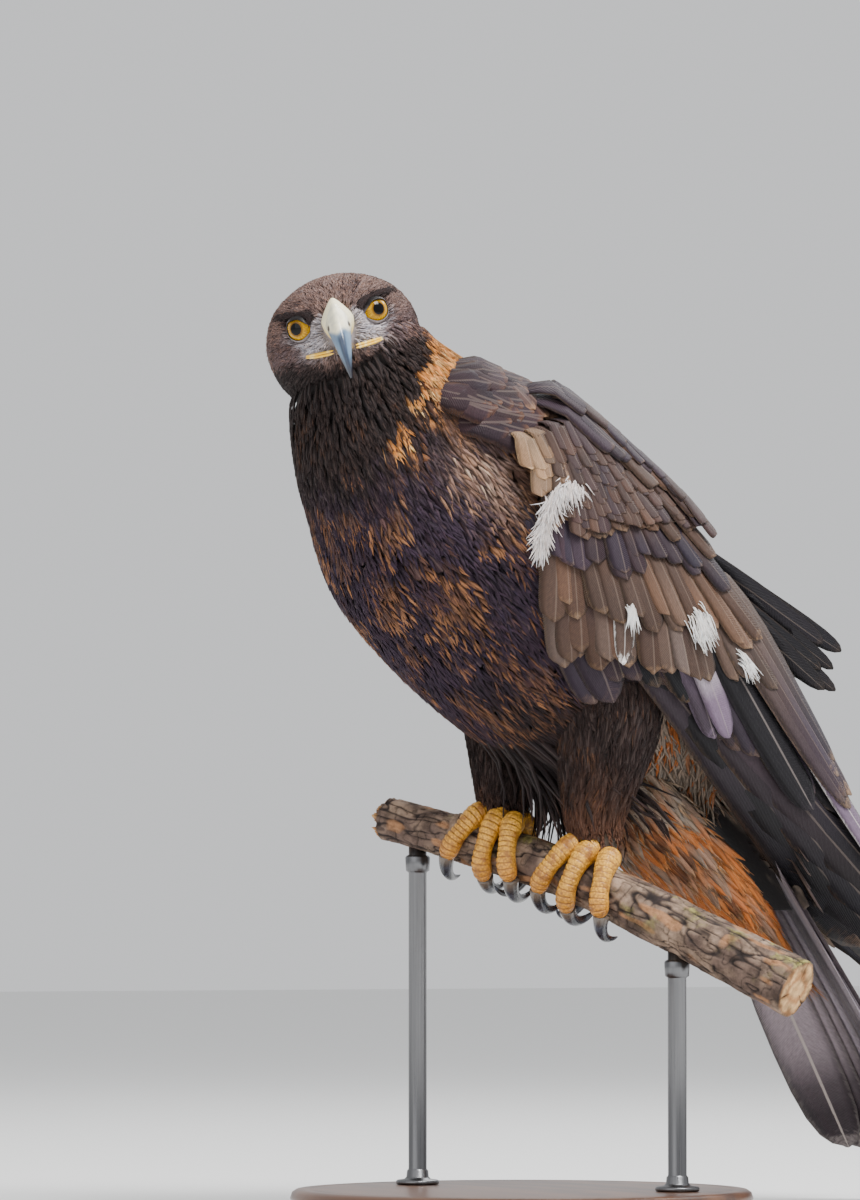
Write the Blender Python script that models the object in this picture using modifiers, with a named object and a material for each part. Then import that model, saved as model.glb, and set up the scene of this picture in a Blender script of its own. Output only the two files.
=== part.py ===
# Golden eagle standing on a short cut length of branch, life size, on a plain display stand.
# Metres, +Z up. The bird faces -Y, its left side is at +X, the stand's underside is at Z = 0.
import math
import random

import bmesh
import bpy
import numpy as np
from mathutils import Matrix, Vector

MODEL_NAME = "golden_eagle"
# Gap that touching pieces keep, and thickness of a feather's vane
GAP = 0.0003
VANE_THICKNESS = 0.0007
# A vane's points across it: one edge, the shaft and the other edge
COLUMNS = np.array(((-1.0, 0.0, 1.0),))
SEED = 7
# Points nearer than this are one point, and the furthest a corner grows as a share of the gap
WELD_DISTANCE = 0.000002
CORNER_SWELLING = 2.5
# Faces that lie within this angle of one plane are merged after a cut or a union
FLAT_ANGLE = math.radians(0.4)

# Trunk: its own coordinates run along the body (tailward), up from its axis (dorsal) and sideways
TRUNK_PITCH = math.radians(42.0)
CHEST_CENTRE = (0.0, -0.070, 0.460)
NECK_PLANE = -0.043
RUMP_PLANE = 0.262
# Each station: place along the trunk, axis height, half width, dorsal and ventral half depth
TRUNK_STATIONS = (
    (-0.130, 0.038, 0.036, 0.032, 0.040),
    (-0.095, 0.030, 0.051, 0.041, 0.066),
    (-0.070, 0.022, 0.060, 0.050, 0.076),
    (-0.043, 0.014, 0.067, 0.064, 0.082),
    (0.000, 0.004, 0.080, 0.091, 0.090),
    (0.045, 0.000, 0.086, 0.106, 0.090),
    (0.095, 0.000, 0.086, 0.110, 0.088),
    (0.145, 0.004, 0.080, 0.106, 0.084),
    (0.195, 0.012, 0.066, 0.086, 0.072),
    (0.262, 0.024, 0.040, 0.042, 0.040),
)
TRUNK_SIDES = 26
TRUNK_RINGS = 12
NECK_RINGS = 6
NECK_TOP = -0.120

# Folded wing: an oval shell round the trunk, by place along it
# Each station: place along the trunk, axis height, half width, half depth
WING_STATIONS = (
    (-0.045, 0.030, 0.072, 0.064),
    (0.000, 0.020, 0.092, 0.092),
    (0.060, 0.010, 0.099, 0.110),
    (0.130, 0.008, 0.100, 0.121),
    (0.200, 0.014, 0.093, 0.116),
    (0.280, 0.026, 0.076, 0.084),
    (0.340, 0.030, 0.064, 0.064),
    (0.430, 0.032, 0.050, 0.042),
    (0.540, 0.030, 0.038, 0.026),
)
# Arm of the wing: place along the trunk, height of its upper and of its lower edge
ARM_STATIONS = (
    (-0.034, 0.060, 0.022),
    (0.010, 0.095, -0.006),
    (0.070, 0.110, -0.012),
    (0.140, 0.116, 0.002),
    (0.200, 0.108, 0.030),
    (0.235, 0.090, 0.058),
)
ARM_TOP_DEPTH = 0.0082
ARM_FLOOR_DEPTH = 0.0165
ARM_POINTS = 10
ARM_EDGE_THINNING = (0.0010, 0.0025)
ROOT_DEPTH = 0.0120
# Tiers of the wing: count, root line and tip line as (along, height) points, width, height over
# the wing's shell (below it where negative) and how far neighbours are turned like roof tiles
WING_TIERS = {
    "primary": (5, ((0.034, -0.002), (0.080, 0.016)),
                ((0.455, 0.006), (0.527, 0.026), (0.385, 0.048)), 0.036, -0.0138),
    "secondary": (8, ((0.002, 0.006), (0.125, 0.076)),
                  ((0.143, -0.053), (0.235, -0.006), (0.338, 0.062)), 0.042, -0.0108),
    "tertial": (2, ((0.132, 0.084), (0.152, 0.102)),
                ((0.350, 0.078), (0.338, 0.090), (0.318, 0.100)), 0.036, -0.0056),
    "greater_covert": (7, ((0.000, 0.014), (0.112, 0.082)),
                       ((0.102, -0.049), (0.165, -0.006), (0.240, 0.062)), 0.032, -0.0056),
    "median_covert": (5, ((-0.008, 0.032), (0.090, 0.092)),
                      ((0.054, 0.000), (0.092, 0.036), (0.165, 0.082)), 0.031, -0.0018),
    "scapular": (4, ((-0.010, 0.082), (0.125, 0.108)),
                 ((0.060, 0.092), (0.140, 0.118), (0.225, 0.114)), 0.034, 0.0056),
}
TILE_SLOPE = 0.08
# Half width along a wing feather, its last two rows of points, and where it comes out of the arm
WING_VANE_PROFILE = ((0.0, 0.55), (0.25, 0.90), (0.60, 1.0), (0.88, 0.76), (1.0, 0.18))
ROUNDED_FROM = 0.88
ROOT_RUN = 0.030
# How much higher the right wing's inner feathers are carried, from one place on to another
RIGHT_WING_LIFT = 0.055
LIFT_RANGE = (0.200, 0.340)

# Head: turned to the left and tilted on the neck, which it meets in a rounded socket
HEAD_CENTRE = (0.000, -0.1377, 0.5676)
HEAD_YAW = math.radians(57.0)
HEAD_ROLL = math.radians(14.0)
HEAD_NOD = math.radians(4.0)
# Each station: place forward of the centre, axis height, half width, upper and lower half depth
HEAD_STATIONS = (
    (-0.066, -0.010, 0.010, 0.010, 0.010),
    (-0.058, -0.010, 0.028, 0.028, 0.028),
    (-0.036, -0.008, 0.044, 0.042, 0.044),
    (-0.010, -0.006, 0.048, 0.042, 0.048),
    (0.012, -0.005, 0.043, 0.039, 0.042),
    (0.030, -0.004, 0.030, 0.031, 0.030),
    (0.042, -0.004, 0.019, 0.022, 0.018),
    (0.047, -0.003, 0.013, 0.017, 0.011),
)
HEAD_SIDES = 20
HEAD_RINGS = 11
EYE_RADIUS = 0.0105
EYE_SIDES = 14
EYE_RINGS = 8
EYE_PLACE = (0.0215, 0.0255, 0.0060)
EYE_TURN = math.radians(38.0)
LID_RADIUS = 0.0086
LID_THICKNESS = 0.0017
LID_HEIGHT = 0.0066
LID_FLARE = 1.3
# Brow, gape and bill: points (side, forward, up) of their axes with half width and half height
BROW_LINE = (
    (0.0085, 0.0440, 0.0115, 0.0020, 0.0020),
    (0.0165, 0.0400, 0.0140, 0.0038, 0.0034),
    (0.0255, 0.0315, 0.0175, 0.0045, 0.0040),
    (0.0325, 0.0190, 0.0175, 0.0042, 0.0038),
    (0.0370, 0.0060, 0.0140, 0.0026, 0.0026),
)
GAPE_LINE = (
    (0.0085, 0.0500, -0.0085, 0.0012, 0.0012),
    (0.0150, 0.0440, -0.0088, 0.0015, 0.0013),
    (0.0215, 0.0350, -0.0092, 0.0017, 0.0014),
    (0.0265, 0.0260, -0.0098, 0.0014, 0.0012),
)
GAPE_OPENING = 0.0022
UPPER_BILL_LINE = (
    (0.0, 0.036, 0.0045, 0.0104, 0.0138),
    (0.0, 0.048, 0.0050, 0.0097, 0.0133),
    (0.0, 0.060, 0.0020, 0.0085, 0.0120),
    (0.0, 0.070, -0.0055, 0.0068, 0.0096),
    (0.0, 0.0765, -0.0160, 0.0047, 0.0066),
    (0.0, 0.0785, -0.0260, 0.0025, 0.0037),
    (0.0, 0.0770, -0.0335, 0.0007, 0.0009),
)
CERE_SHARE = 0.30
LOWER_BILL_LINE = (
    (0.0, 0.034, -0.0120, 0.0092, 0.0060),
    (0.0, 0.050, -0.0135, 0.0075, 0.0048),
    (0.0, 0.062, -0.0150, 0.0050, 0.0034),
    (0.0, 0.067, -0.0155, 0.0020, 0.0014),
)
NOSTRIL_PLACE = (0.0090, 0.0500, 0.0035)
NOSTRIL_RADII = (0.0022, 0.0030, 0.0018)

# Nape hackles: rows of lance-shaped vanes on the neck
HACKLE_ROWS = 4
HACKLES_A_ROW = 6
HACKLE_LENGTH = 0.046
HACKLE_WIDTH = 0.025
HACKLE_SPREAD = math.radians(105.0)
HACKLE_FIRST = -0.088
HACKLE_STEP = 0.0125
HACKLE_ROOT_DEPTH = 0.0040
HACKLE_LIFT = 0.0082
HACKLE_FAN = 0.10
# Half width along a hackle and its roughly round ground that the width is bent over
HACKLE_PROFILE = ((0.0, 0.8), (0.50, 1.0), (1.0, 0.08))
HACKLE_GROUND_RADIUS = 0.058

# Tail: its own coordinates start on the rump and run down its length, up from it and sideways
TAIL_PITCH = math.radians(55.0)
TAIL_LENGTH = 0.330
TAIL_FEATHER_WIDTH = 0.036
TAIL_ROOT_SPACING = 0.0045
TAIL_TIP_SPACING = 0.0098
TAIL_LAYER = 0.0013
TAIL_TOP_LEVEL = 0.0020
TAIL_VANE_START = 0.070
TAIL_ROOT_LEVEL = -0.003
TAIL_ROUNDING = 0.0016
TAIL_CAMBER = 0.0006
# Half width along a tail feather, and its order from the top one down
TAIL_VANE_PROFILE = ((0.0, 0.45), (0.30, 0.75), (0.65, 1.0), (0.92, 0.86), (1.0, 0.28))
TAIL_LAYERS = (0, 1, 2, 3, 4, 4, 5, 5, 6, 6, 7, 7)
TAIL_CORE_SIDES = 20
# Each station: place along the tail, axis height, half width, half thickness
TAIL_CORE = (
    (0.000, 0.000, 0.0395, 0.0405),
    (0.035, 0.000, 0.0345, 0.0260),
    (0.080, -0.003, 0.0330, 0.0130),
    (0.125, -0.005, 0.0340, 0.0060),
)
# Feathers below the tail: place along the trunk, axis height, half width, half thickness
UNDERTAIL_STATIONS = (
    (0.205, -0.038, 0.0300, 0.0240),
    (0.250, -0.038, 0.0370, 0.0310),
    (0.310, -0.038, 0.0340, 0.0280),
    (0.365, -0.039, 0.0260, 0.0180),
    (0.415, -0.040, 0.0120, 0.0050),
)
UNDERTAIL_SIDES = 14
UNDERTAIL_RINGS = 7
# Its vanes, a row each: start, length, width, and angles from the body's underside
UNDERTAIL_ROWS = (
    (0.238, 0.070, 0.026, (-66.0, -22.0, 22.0, 66.0)),
    (0.288, 0.074, 0.025, (-48.0, 0.0, 48.0)),
    (0.338, 0.088, 0.021, (-38.0, 38.0)),
)
UNDERTAIL_LIFT = 0.0040

# Perch: centre line of the branch with its radius
PERCH_LINE = (
    (-0.109, -0.0335, 0.2570, 0.0145),
    (-0.050, -0.0060, 0.2410, 0.0152),
    (0.017, 0.0256, 0.2195, 0.0160),
    (0.090, 0.0600, 0.1860, 0.0172),
    (0.171, 0.0970, 0.1460, 0.0188),
)
PERCH_SIDES = 14
PERCH_RINGS = 11
PERCH_RELIEF = 0.020
PERCH_TWIST = 14.0
PERCH_MIDDLE = (0.0, 0.0175)
PERCH_TURN = math.radians(25.0)

# Legs: place of each foot along the branch from its middle, and the points of thigh and shank
FOOT_LEFT = 0.0346
FOOT_RIGHT = -0.0345
THIGH_LINE = (
    (0.044, 0.002, 0.135, 0.0300, 0.0400),
    (0.044, 0.003, 0.095, 0.0310, 0.0385),
    (0.038, 0.002, 0.055, 0.0240, 0.0270),
    (0.033, 0.000, 0.022, 0.0150, 0.0175),
)
# How much further back the top of the right thigh lies over its foot
RIGHT_THIGH_SLANT = 0.022
SHANK_RADIUS = 0.0125
TOE_RADIUS = 0.0074
TOE_TIP_RADIUS = 0.0054
TOE_CLEARANCE = 0.0012
TOE_SWELLING = 0.10
TOE_SIDES = 6
TOE_RINGS = 8
# Toes: shift along the branch at root and tip, wrap angles of the toe and length of the talon
TOES = {
    "inner": (-0.0105, -0.024, 12.0, 128.0, 0.040),
    "middle": (-0.001, -0.002, 10.0, 146.0, 0.036),
    "outer": (0.0112, 0.0255, 12.0, 122.0, 0.030),
    "hind": (-0.004, -0.012, -14.0, -104.0, 0.046),
}
TALON_ROOT_RADIUS = 0.0048
TALON_TIP_RADIUS = 0.0004
TALON_ARCH = 0.004
TALON_SIDES = 6
TALON_RINGS = 6
# Degrees between toe and talon, and the branch's radius with the toe's that a talon bends round
TALON_START = 4.0
TALON_CURVE_RADIUS = 0.026

BASE_RADIUS = 0.150
BASE_HEIGHT = 0.016
BASE_BEVEL = 0.003
BASE_SIDES = 40
ROD_RADIUS = 0.0060
ROD_PLACES = (-0.098, 0.100)


def clear_scene():
    for item in list(bpy.data.objects):
        bpy.data.objects.remove(item, do_unlink=True)


def make_material(name, colour, roughness, metallic=0.0):
    material = bpy.data.materials.new(name)
    material.use_nodes = True
    shader = material.node_tree.nodes["Principled BSDF"]
    shader.inputs["Base Color"].default_value = (*colour, 1.0)
    shader.inputs["Roughness"].default_value = roughness
    shader.inputs["Metallic"].default_value = metallic
    material.diffuse_color = (*colour, 1.0)
    return material


def smooth(table, places):
    # Every column of a station table at the given places, on a cubic curve through its rows
    rows = np.array(table, float)
    knots = rows[:, 0]
    values = rows[:, 1:]
    steps = np.diff(knots)[:, None]
    slopes = np.diff(values, axis=0) / steps
    tangents = np.vstack((slopes[:1], (slopes[1:] + slopes[:-1]) / 2.0, slopes[-1:]))
    places = np.clip(np.asarray(places, float), knots[0], knots[-1])
    cell = np.clip(np.searchsorted(knots, places) - 1, 0, len(knots) - 2)
    t = ((places - knots[cell]) / steps[cell, 0])[..., None]
    h = steps[cell]
    start = (2 * t**3 - 3 * t**2 + 1) * values[cell] + (t**3 - 2 * t**2 + t) * h * tangents[cell]
    end = (3 * t**2 - 2 * t**3) * values[cell + 1] + (t**3 - t**2) * h * tangents[cell + 1]
    return np.moveaxis(start + end, -1, 0)


def trunk_to_world(along, height, side):
    # World places of points given along the trunk, up from its axis and sideways
    along, height, side = np.broadcast_arrays(along, height, side)
    y = CHEST_CENTRE[1] + along * math.cos(TRUNK_PITCH) + height * math.sin(TRUNK_PITCH)
    z = CHEST_CENTRE[2] - along * math.sin(TRUNK_PITCH) + height * math.cos(TRUNK_PITCH)
    return np.stack((CHEST_CENTRE[0] + side, y, z), axis=-1)


def tail_to_world(along, height, side):
    # World places of points given along the tail, up from its middle plane and sideways
    start = trunk_to_world(RUMP_PLANE, smooth(TRUNK_STATIONS, RUMP_PLANE)[0], 0.0)
    along, height, side = np.broadcast_arrays(along, height, side)
    y = start[1] + along * math.cos(TAIL_PITCH) + height * math.sin(TAIL_PITCH)
    z = start[2] - along * math.sin(TAIL_PITCH) + height * math.cos(TAIL_PITCH)
    return np.stack((side, y, z), axis=-1)


def head_matrix():
    return (Matrix.Translation(HEAD_CENTRE) @ Matrix.Rotation(HEAD_YAW, 4, "Z")
            @ Matrix.Rotation(-HEAD_ROLL, 4, "Y") @ Matrix.Rotation(HEAD_NOD, 4, "X"))


def head_to_world(side, forward, up):
    # World places of points given sideways, forward and up in the head
    matrix = np.array(head_matrix())
    side, forward, up = np.broadcast_arrays(side, forward, up)
    local = np.stack((side, -forward, up), axis=-1)
    return local @ matrix[:3, :3].T + matrix[:3, 3]


def mesh_object(name, points, faces, material):
    mesh = bpy.data.meshes.new(name)
    mesh.from_pydata([tuple(point) for point in points], [], faces)
    mesh.materials.append(material)
    work = bmesh.new()
    work.from_mesh(mesh)
    bmesh.ops.recalc_face_normals(work, faces=work.faces)
    work.to_mesh(mesh)
    work.free()
    node = bpy.data.objects.new(name, mesh)
    bpy.data.collections[MODEL_NAME].objects.link(node)
    return node


def loft(name, rings, material):
    # Closed skin over rings of equal point counts, with flat ends
    count, sides = rings.shape[:2]
    faces = []
    for ring in range(count - 1):
        for side in range(sides):
            a = ring * sides + side
            b = ring * sides + (side + 1) % sides
            faces.append((a, b, b + sides))
            faces.append((a, b + sides, a + sides))
    faces.append(tuple(range(sides)))
    faces.append(tuple(range((count - 1) * sides, count * sides)))
    return mesh_object(name, rings.reshape(-1, 3), faces, material)


def tube(name, line, across, sides, rings, material, to_world=None):
    # Loft along a line whose rows are a point, a half width along 'across' and a half height
    rows = np.array(line, float)
    table = np.column_stack((np.arange(len(rows)), rows))
    at = np.linspace(0.0, len(rows) - 1.0, rings)
    columns = smooth(table, at)
    centre = columns[:3].T
    if to_world is not None:
        centre = to_world(*centre.T)
    tangent = np.gradient(centre, axis=0)
    tangent /= np.linalg.norm(tangent, axis=1)[:, None]
    across = np.array(across, float)
    across = across - tangent * (tangent @ across)[:, None]
    across /= np.linalg.norm(across, axis=1)[:, None]
    upward = np.cross(tangent, across)
    angle = np.linspace(0.0, math.tau, sides, endpoint=False)
    rings_at = (centre[:, None]
                + across[:, None] * (columns[3][:, None] * np.cos(angle))[..., None]
                + upward[:, None] * (columns[4][:, None] * np.sin(angle))[..., None])
    return loft(name, rings_at, material)


def vane(name, top, bottom, material):
    # Closed thin plate between two grids that are split into the same triangles
    rows, columns = top.shape[:2]
    points = np.concatenate((top.reshape(-1, 3), bottom.reshape(-1, 3)))
    shift = rows * columns
    faces = []
    for row in range(rows - 1):
        for column in range(columns - 1):
            a = row * columns + column
            b = a + 1
            c = b + columns
            d = a + columns
            faces.extend(((a, b, c), (a, c, d)))
            faces.extend(((a + shift, c + shift, b + shift), (a + shift, d + shift, c + shift)))
    last = (rows - 1) * columns
    rim = list(range(columns))
    rim += [row * columns + columns - 1 for row in range(1, rows)]
    rim += [last + column for column in range(columns - 2, -1, -1)]
    rim += [row * columns for row in range(rows - 2, 0, -1)]
    for here, there in zip(rim, rim[1:] + rim[:1]):
        faces.append((here, here + shift, there + shift))
        faces.append((here, there + shift, there))
    return mesh_object(name, points, faces, material)


def is_closed(mesh):
    work = bmesh.new()
    work.from_mesh(mesh)
    closed = len(work.faces) > 0 and all(len(edge.link_faces) == 2 for edge in work.edges)
    work.free()
    return closed


def apply_boolean(node, operation, operands):
    # Joins the operands to a node or cuts them out of it, then removes them
    cutters = bpy.data.collections.new("cutters")
    bpy.context.scene.collection.children.link(cutters)
    for item in operands:
        for owner in list(item.users_collection):
            owner.objects.unlink(item)
        cutters.objects.link(item)
    modifier = node.modifiers.new("boolean", "BOOLEAN")
    modifier.operation = operation
    modifier.operand_type = "COLLECTION"
    modifier.collection = cutters
    modifier.solver = "EXACT"
    graph = bpy.context.evaluated_depsgraph_get()
    mesh = bpy.data.meshes.new_from_object(node.evaluated_get(graph))
    if not is_closed(mesh):
        modifier.solver = "MANIFOLD"
        graph = bpy.context.evaluated_depsgraph_get()
        mesh = bpy.data.meshes.new_from_object(node.evaluated_get(graph))
    node.modifiers.clear()
    node.data = mesh
    for item in operands:
        bpy.data.objects.remove(item, do_unlink=True)
    bpy.data.collections.remove(cutters)


def keep_largest(node):
    # Drops every loose surface of a node but the one with the most area
    work = bmesh.new()
    work.from_mesh(node.data)
    bmesh.ops.remove_doubles(work, verts=work.verts, dist=WELD_DISTANCE)
    bmesh.ops.dissolve_degenerate(work, edges=work.edges, dist=WELD_DISTANCE)
    bmesh.ops.dissolve_limit(work, angle_limit=FLAT_ANGLE, verts=work.verts, edges=work.edges)
    bmesh.ops.triangulate(work, faces=work.faces)
    seen = set()
    groups = []
    for face in work.faces:
        if face in seen:
            continue
        stack = [face]
        group = []
        seen.add(face)
        while stack:
            here = stack.pop()
            group.append(here)
            for edge in here.edges:
                for other in edge.link_faces:
                    if other not in seen:
                        seen.add(other)
                        stack.append(other)
        groups.append(group)
    groups.sort(key=lambda group: sum(face.calc_area() for face in group))
    for group in groups[:-1]:
        bmesh.ops.delete(work, geom=group, context="FACES")
    loose = [vert for vert in work.verts if not vert.link_faces]
    bmesh.ops.delete(work, geom=loose, context="VERTS")
    work.to_mesh(node.data)
    work.free()


def join(node, pieces):
    apply_boolean(node, "UNION", pieces)
    keep_largest(node)


def swollen_copy(node, gap):
    # Copy of a node grown outward by the gap
    mesh = node.data.copy()
    work = bmesh.new()
    work.from_mesh(mesh)
    work.normal_update()
    moves = [vert.normal * gap * min(vert.calc_shell_factor(), CORNER_SWELLING) for vert in work.verts]
    for vert, move in zip(work.verts, moves):
        vert.co += move
    work.to_mesh(mesh)
    work.free()
    cutter = bpy.data.objects.new("cutter", mesh)
    bpy.data.collections[MODEL_NAME].objects.link(cutter)
    return cutter


def clear_of(node, *others):
    # Cuts a node back from its neighbours, so that it meets them face to face
    for other in others:
        apply_boolean(node, "DIFFERENCE", [swollen_copy(other, GAP)])
    keep_largest(node)


def shade_round(node, limit=math.radians(40.0)):
    node.data.shade_smooth()
    node.data.set_sharp_from_angle(angle=limit)


def trunk_rings(places):
    columns = smooth(TRUNK_STATIONS, places)
    angle = np.linspace(0.0, math.tau, TRUNK_SIDES, endpoint=False)
    depth = np.where(np.cos(angle) > 0.0, columns[2][:, None], columns[3][:, None])
    height = columns[0][:, None] + depth * np.cos(angle)
    side = columns[1][:, None] * np.sin(angle)
    return trunk_to_world(np.asarray(places)[:, None], height, side)


def make_torso(material):
    places = np.linspace(NECK_PLANE, RUMP_PLANE, TRUNK_RINGS)
    return loft("torso", trunk_rings(places), material)


def neck_surface(along, angle, height):
    # Point over the neck and shoulders at an angle from the back's middle line
    columns = smooth(TRUNK_STATIONS, along)
    depth = np.where(np.cos(angle) > 0.0, columns[2], columns[3]) + height
    up = columns[0] + depth * np.cos(angle)
    side = (columns[1] + height) * np.sin(angle)
    return trunk_to_world(along, up, side)


def make_hackle(name, start, angle, length, width, material):
    profile = np.array(HACKLE_PROFILE)
    t = profile[:, :1]
    half = width / 2 * profile[:, 1:]
    along = start + length * t + 0.0 * COLUMNS
    turn = angle * (1.0 + HACKLE_FAN * t) + half * COLUMNS / HACKLE_GROUND_RADIUS
    lift = -HACKLE_ROOT_DEPTH + (HACKLE_ROOT_DEPTH + HACKLE_LIFT) * np.sqrt(t) + 0.0 * COLUMNS
    top = neck_surface(along, turn, lift)
    bottom = neck_surface(along, turn, lift - VANE_THICKNESS)
    return vane(name, top, bottom, material)


def make_neck(material):
    places = np.linspace(NECK_TOP, NECK_PLANE - GAP, NECK_RINGS)
    node = loft("neck", trunk_rings(places), material)
    draw = random.Random(SEED)
    pieces = []
    for row in range(HACKLE_ROWS):
        count = HACKLES_A_ROW - row % 2
        for index in range(count):
            share = (index + 0.5) / count * 2.0 - 1.0
            angle = HACKLE_SPREAD * share + draw.uniform(-0.03, 0.03)
            start = HACKLE_FIRST + HACKLE_STEP * row
            length = HACKLE_LENGTH * draw.uniform(0.9, 1.1)
            pieces.append(make_hackle("hackle", start, angle, length, HACKLE_WIDTH, material))
    join(node, pieces)
    return node


def head_rings(places):
    columns = smooth(HEAD_STATIONS, places)
    angle = np.linspace(0.0, math.tau, HEAD_SIDES, endpoint=False)
    depth = np.where(np.cos(angle) > 0.0, columns[2][:, None], columns[3][:, None])
    up = columns[0][:, None] + depth * np.cos(angle)
    side = columns[1][:, None] * np.sin(angle)
    return head_to_world(side, np.asarray(places)[:, None], up)


def mirrored(line, side):
    return [(row[0] * side, *row[1:]) for row in line]


def eye_matrix(side):
    x, forward, up = EYE_PLACE
    place = Matrix.Translation((x * side, -forward, up))
    turn = Matrix.Rotation(EYE_TURN * side, 4, "Z") @ Matrix.Rotation(math.radians(90.0), 4, "X")
    return head_matrix() @ place @ turn


def ball(name, matrix, radii, segments, rings, material):
    mesh = bpy.data.meshes.new(name)
    work = bmesh.new()
    bmesh.ops.create_uvsphere(work, u_segments=segments, v_segments=rings, radius=1.0)
    bmesh.ops.scale(work, vec=radii, verts=work.verts)
    bmesh.ops.transform(work, matrix=matrix, verts=work.verts)
    work.to_mesh(mesh)
    work.free()
    mesh.materials.append(material)
    node = bpy.data.objects.new(name, mesh)
    bpy.data.collections[MODEL_NAME].objects.link(node)
    return node


def ring_of_tube(name, matrix, radius, thickness, material):
    # Lid: a closed ring round the eye's axis
    around = 12
    section = 4
    turn = np.linspace(0.0, math.tau, around, endpoint=False)
    angle = np.linspace(0.0, math.tau, section, endpoint=False)
    out = radius + thickness * np.cos(angle)[None, :]
    deep = np.broadcast_to(thickness * LID_FLARE * np.sin(angle), (around, section))
    points = np.stack((out * np.cos(turn)[:, None], out * np.sin(turn)[:, None], deep), axis=-1)
    faces = []
    for i in range(around):
        for j in range(section):
            a = i * section + j
            b = i * section + (j + 1) % section
            c = ((i + 1) % around) * section + (j + 1) % section
            d = ((i + 1) % around) * section + j
            faces.append((a, b, c, d))
    node = mesh_object(name, points.reshape(-1, 3), faces, material)
    node.data.transform(matrix)
    return node


def make_head(material):
    places = np.linspace(HEAD_STATIONS[0][0], HEAD_STATIONS[-1][0], HEAD_RINGS)
    node = loft("head", head_rings(places), material)
    across = head_to_world(1.0, 0.0, 0.0) - head_to_world(0.0, 0.0, 0.0)
    upward = head_to_world(0.0, 0.0, 1.0) - head_to_world(0.0, 0.0, 0.0)
    pieces = []
    sockets = []
    for side in (1, -1):
        axis = eye_matrix(side)
        lid_place = axis @ Matrix.Translation((0.0, 0.0, LID_HEIGHT))
        pieces.append(tube("brow", mirrored(BROW_LINE, side), upward, 6, 7, material, head_to_world))
        pieces.append(ring_of_tube("lid", lid_place, LID_RADIUS, LID_THICKNESS, material))
        for shift in (-GAPE_OPENING, GAPE_OPENING):
            line = [(x, f, up + shift, w, h) for x, f, up, w, h in mirrored(GAPE_LINE, side)]
            pieces.append(tube("gape", line, across, 5, 5, material, head_to_world))
        radii = (EYE_RADIUS + GAP,) * 3
        sockets.append(ball("socket", axis, radii, EYE_SIDES, EYE_RINGS, material))
    join(node, pieces)
    apply_boolean(node, "DIFFERENCE", sockets)
    keep_largest(node)
    return node


def make_eyes(material):
    nodes = []
    for side, name in ((1, "eye_left"), (-1, "eye_right")):
        nodes.append(ball(name, eye_matrix(side), (EYE_RADIUS,) * 3, EYE_SIDES, EYE_RINGS, material))
    return nodes


def make_bill(horn, cere_skin):
    # Cere and upper bill are one bent, tapered form that is parted across its length
    across = head_to_world(1.0, 0.0, 0.0) - head_to_world(0.0, 0.0, 0.0)
    rows = np.array(UPPER_BILL_LINE, float)
    table = np.column_stack((np.linspace(0.0, 1.0, len(rows)), rows))
    back = smooth(table, np.linspace(0.0, CERE_SHARE, 4)).T
    front = smooth(table, np.linspace(CERE_SHARE, 1.0, 9)).T
    front[0, 1] += GAP * 1.6
    cere = tube("cere", back, across, 14, 4, cere_skin, head_to_world)
    upper = tube("bill_upper", front, across, 14, 9, horn, head_to_world)
    lower = tube("bill_lower", LOWER_BILL_LINE, across, 12, 6, horn, head_to_world)
    nostrils = []
    for side in (1, -1):
        x, forward, up = NOSTRIL_PLACE
        place = head_matrix() @ Matrix.Translation((x * side, -forward, up))
        nostrils.append(ball("nostril", place, NOSTRIL_RADII, 8, 5, cere_skin))
    apply_boolean(cere, "DIFFERENCE", nostrils)
    keep_largest(cere)
    return cere, upper, lower


def wing_shell(along, height, over, side):
    # Point over the folded wing's oval shell, by place along the trunk and height on it.
    # The shell runs straight from station to station, so that vanes with a row of points on
    # each station keep their distance from one another.
    rows = np.array(WING_STATIONS)
    mid, half_width, half_depth = (np.interp(along, rows[:, 0], rows[:, column])
                                   for column in (1, 2, 3))
    share = np.clip((height - mid) / half_depth, -0.985, 0.985)
    out = half_width * np.sqrt(1.0 - share**2)
    normal = np.stack((out / half_width**2, share / half_depth))
    normal = normal / np.linalg.norm(normal, axis=0)
    return trunk_to_world(along, height + over * normal[1], side * (out + over * normal[0]))


def station_places(first, last):
    # Stations of the wing's shell that lie between two places along the trunk
    return [row[0] for row in WING_STATIONS if first + 0.004 < row[0] < last - 0.004]


def make_arm(name, side, material):
    # Flesh of the folded arm: a plate on the trunk that thins out to its rear and lower edge
    rings = []
    places = [ARM_STATIONS[0][0], *station_places(ARM_STATIONS[0][0], ARM_STATIONS[-1][0]),
              ARM_STATIONS[-1][0]]
    for along in places:
        upper, lower = smooth(ARM_STATIONS, along)
        height = np.linspace(upper, lower, ARM_POINTS)
        thin = np.zeros(ARM_POINTS)
        thin[[0, -1]] = ARM_EDGE_THINNING
        top = wing_shell(along, height, -ARM_TOP_DEPTH - thin, side)
        low = wing_shell(along, height[::-1], -ARM_FLOOR_DEPTH + 0.0 * height, side)
        rings.append(np.concatenate((top, low)))
    return loft(name, np.array(rings), material)


def curve_through(points, count):
    # Evenly shared places on the curve through two or three points
    table = np.column_stack((np.linspace(0.0, 1.0, len(points)), points))
    return smooth(table, np.linspace(0.0, 1.0, count)).T


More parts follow.
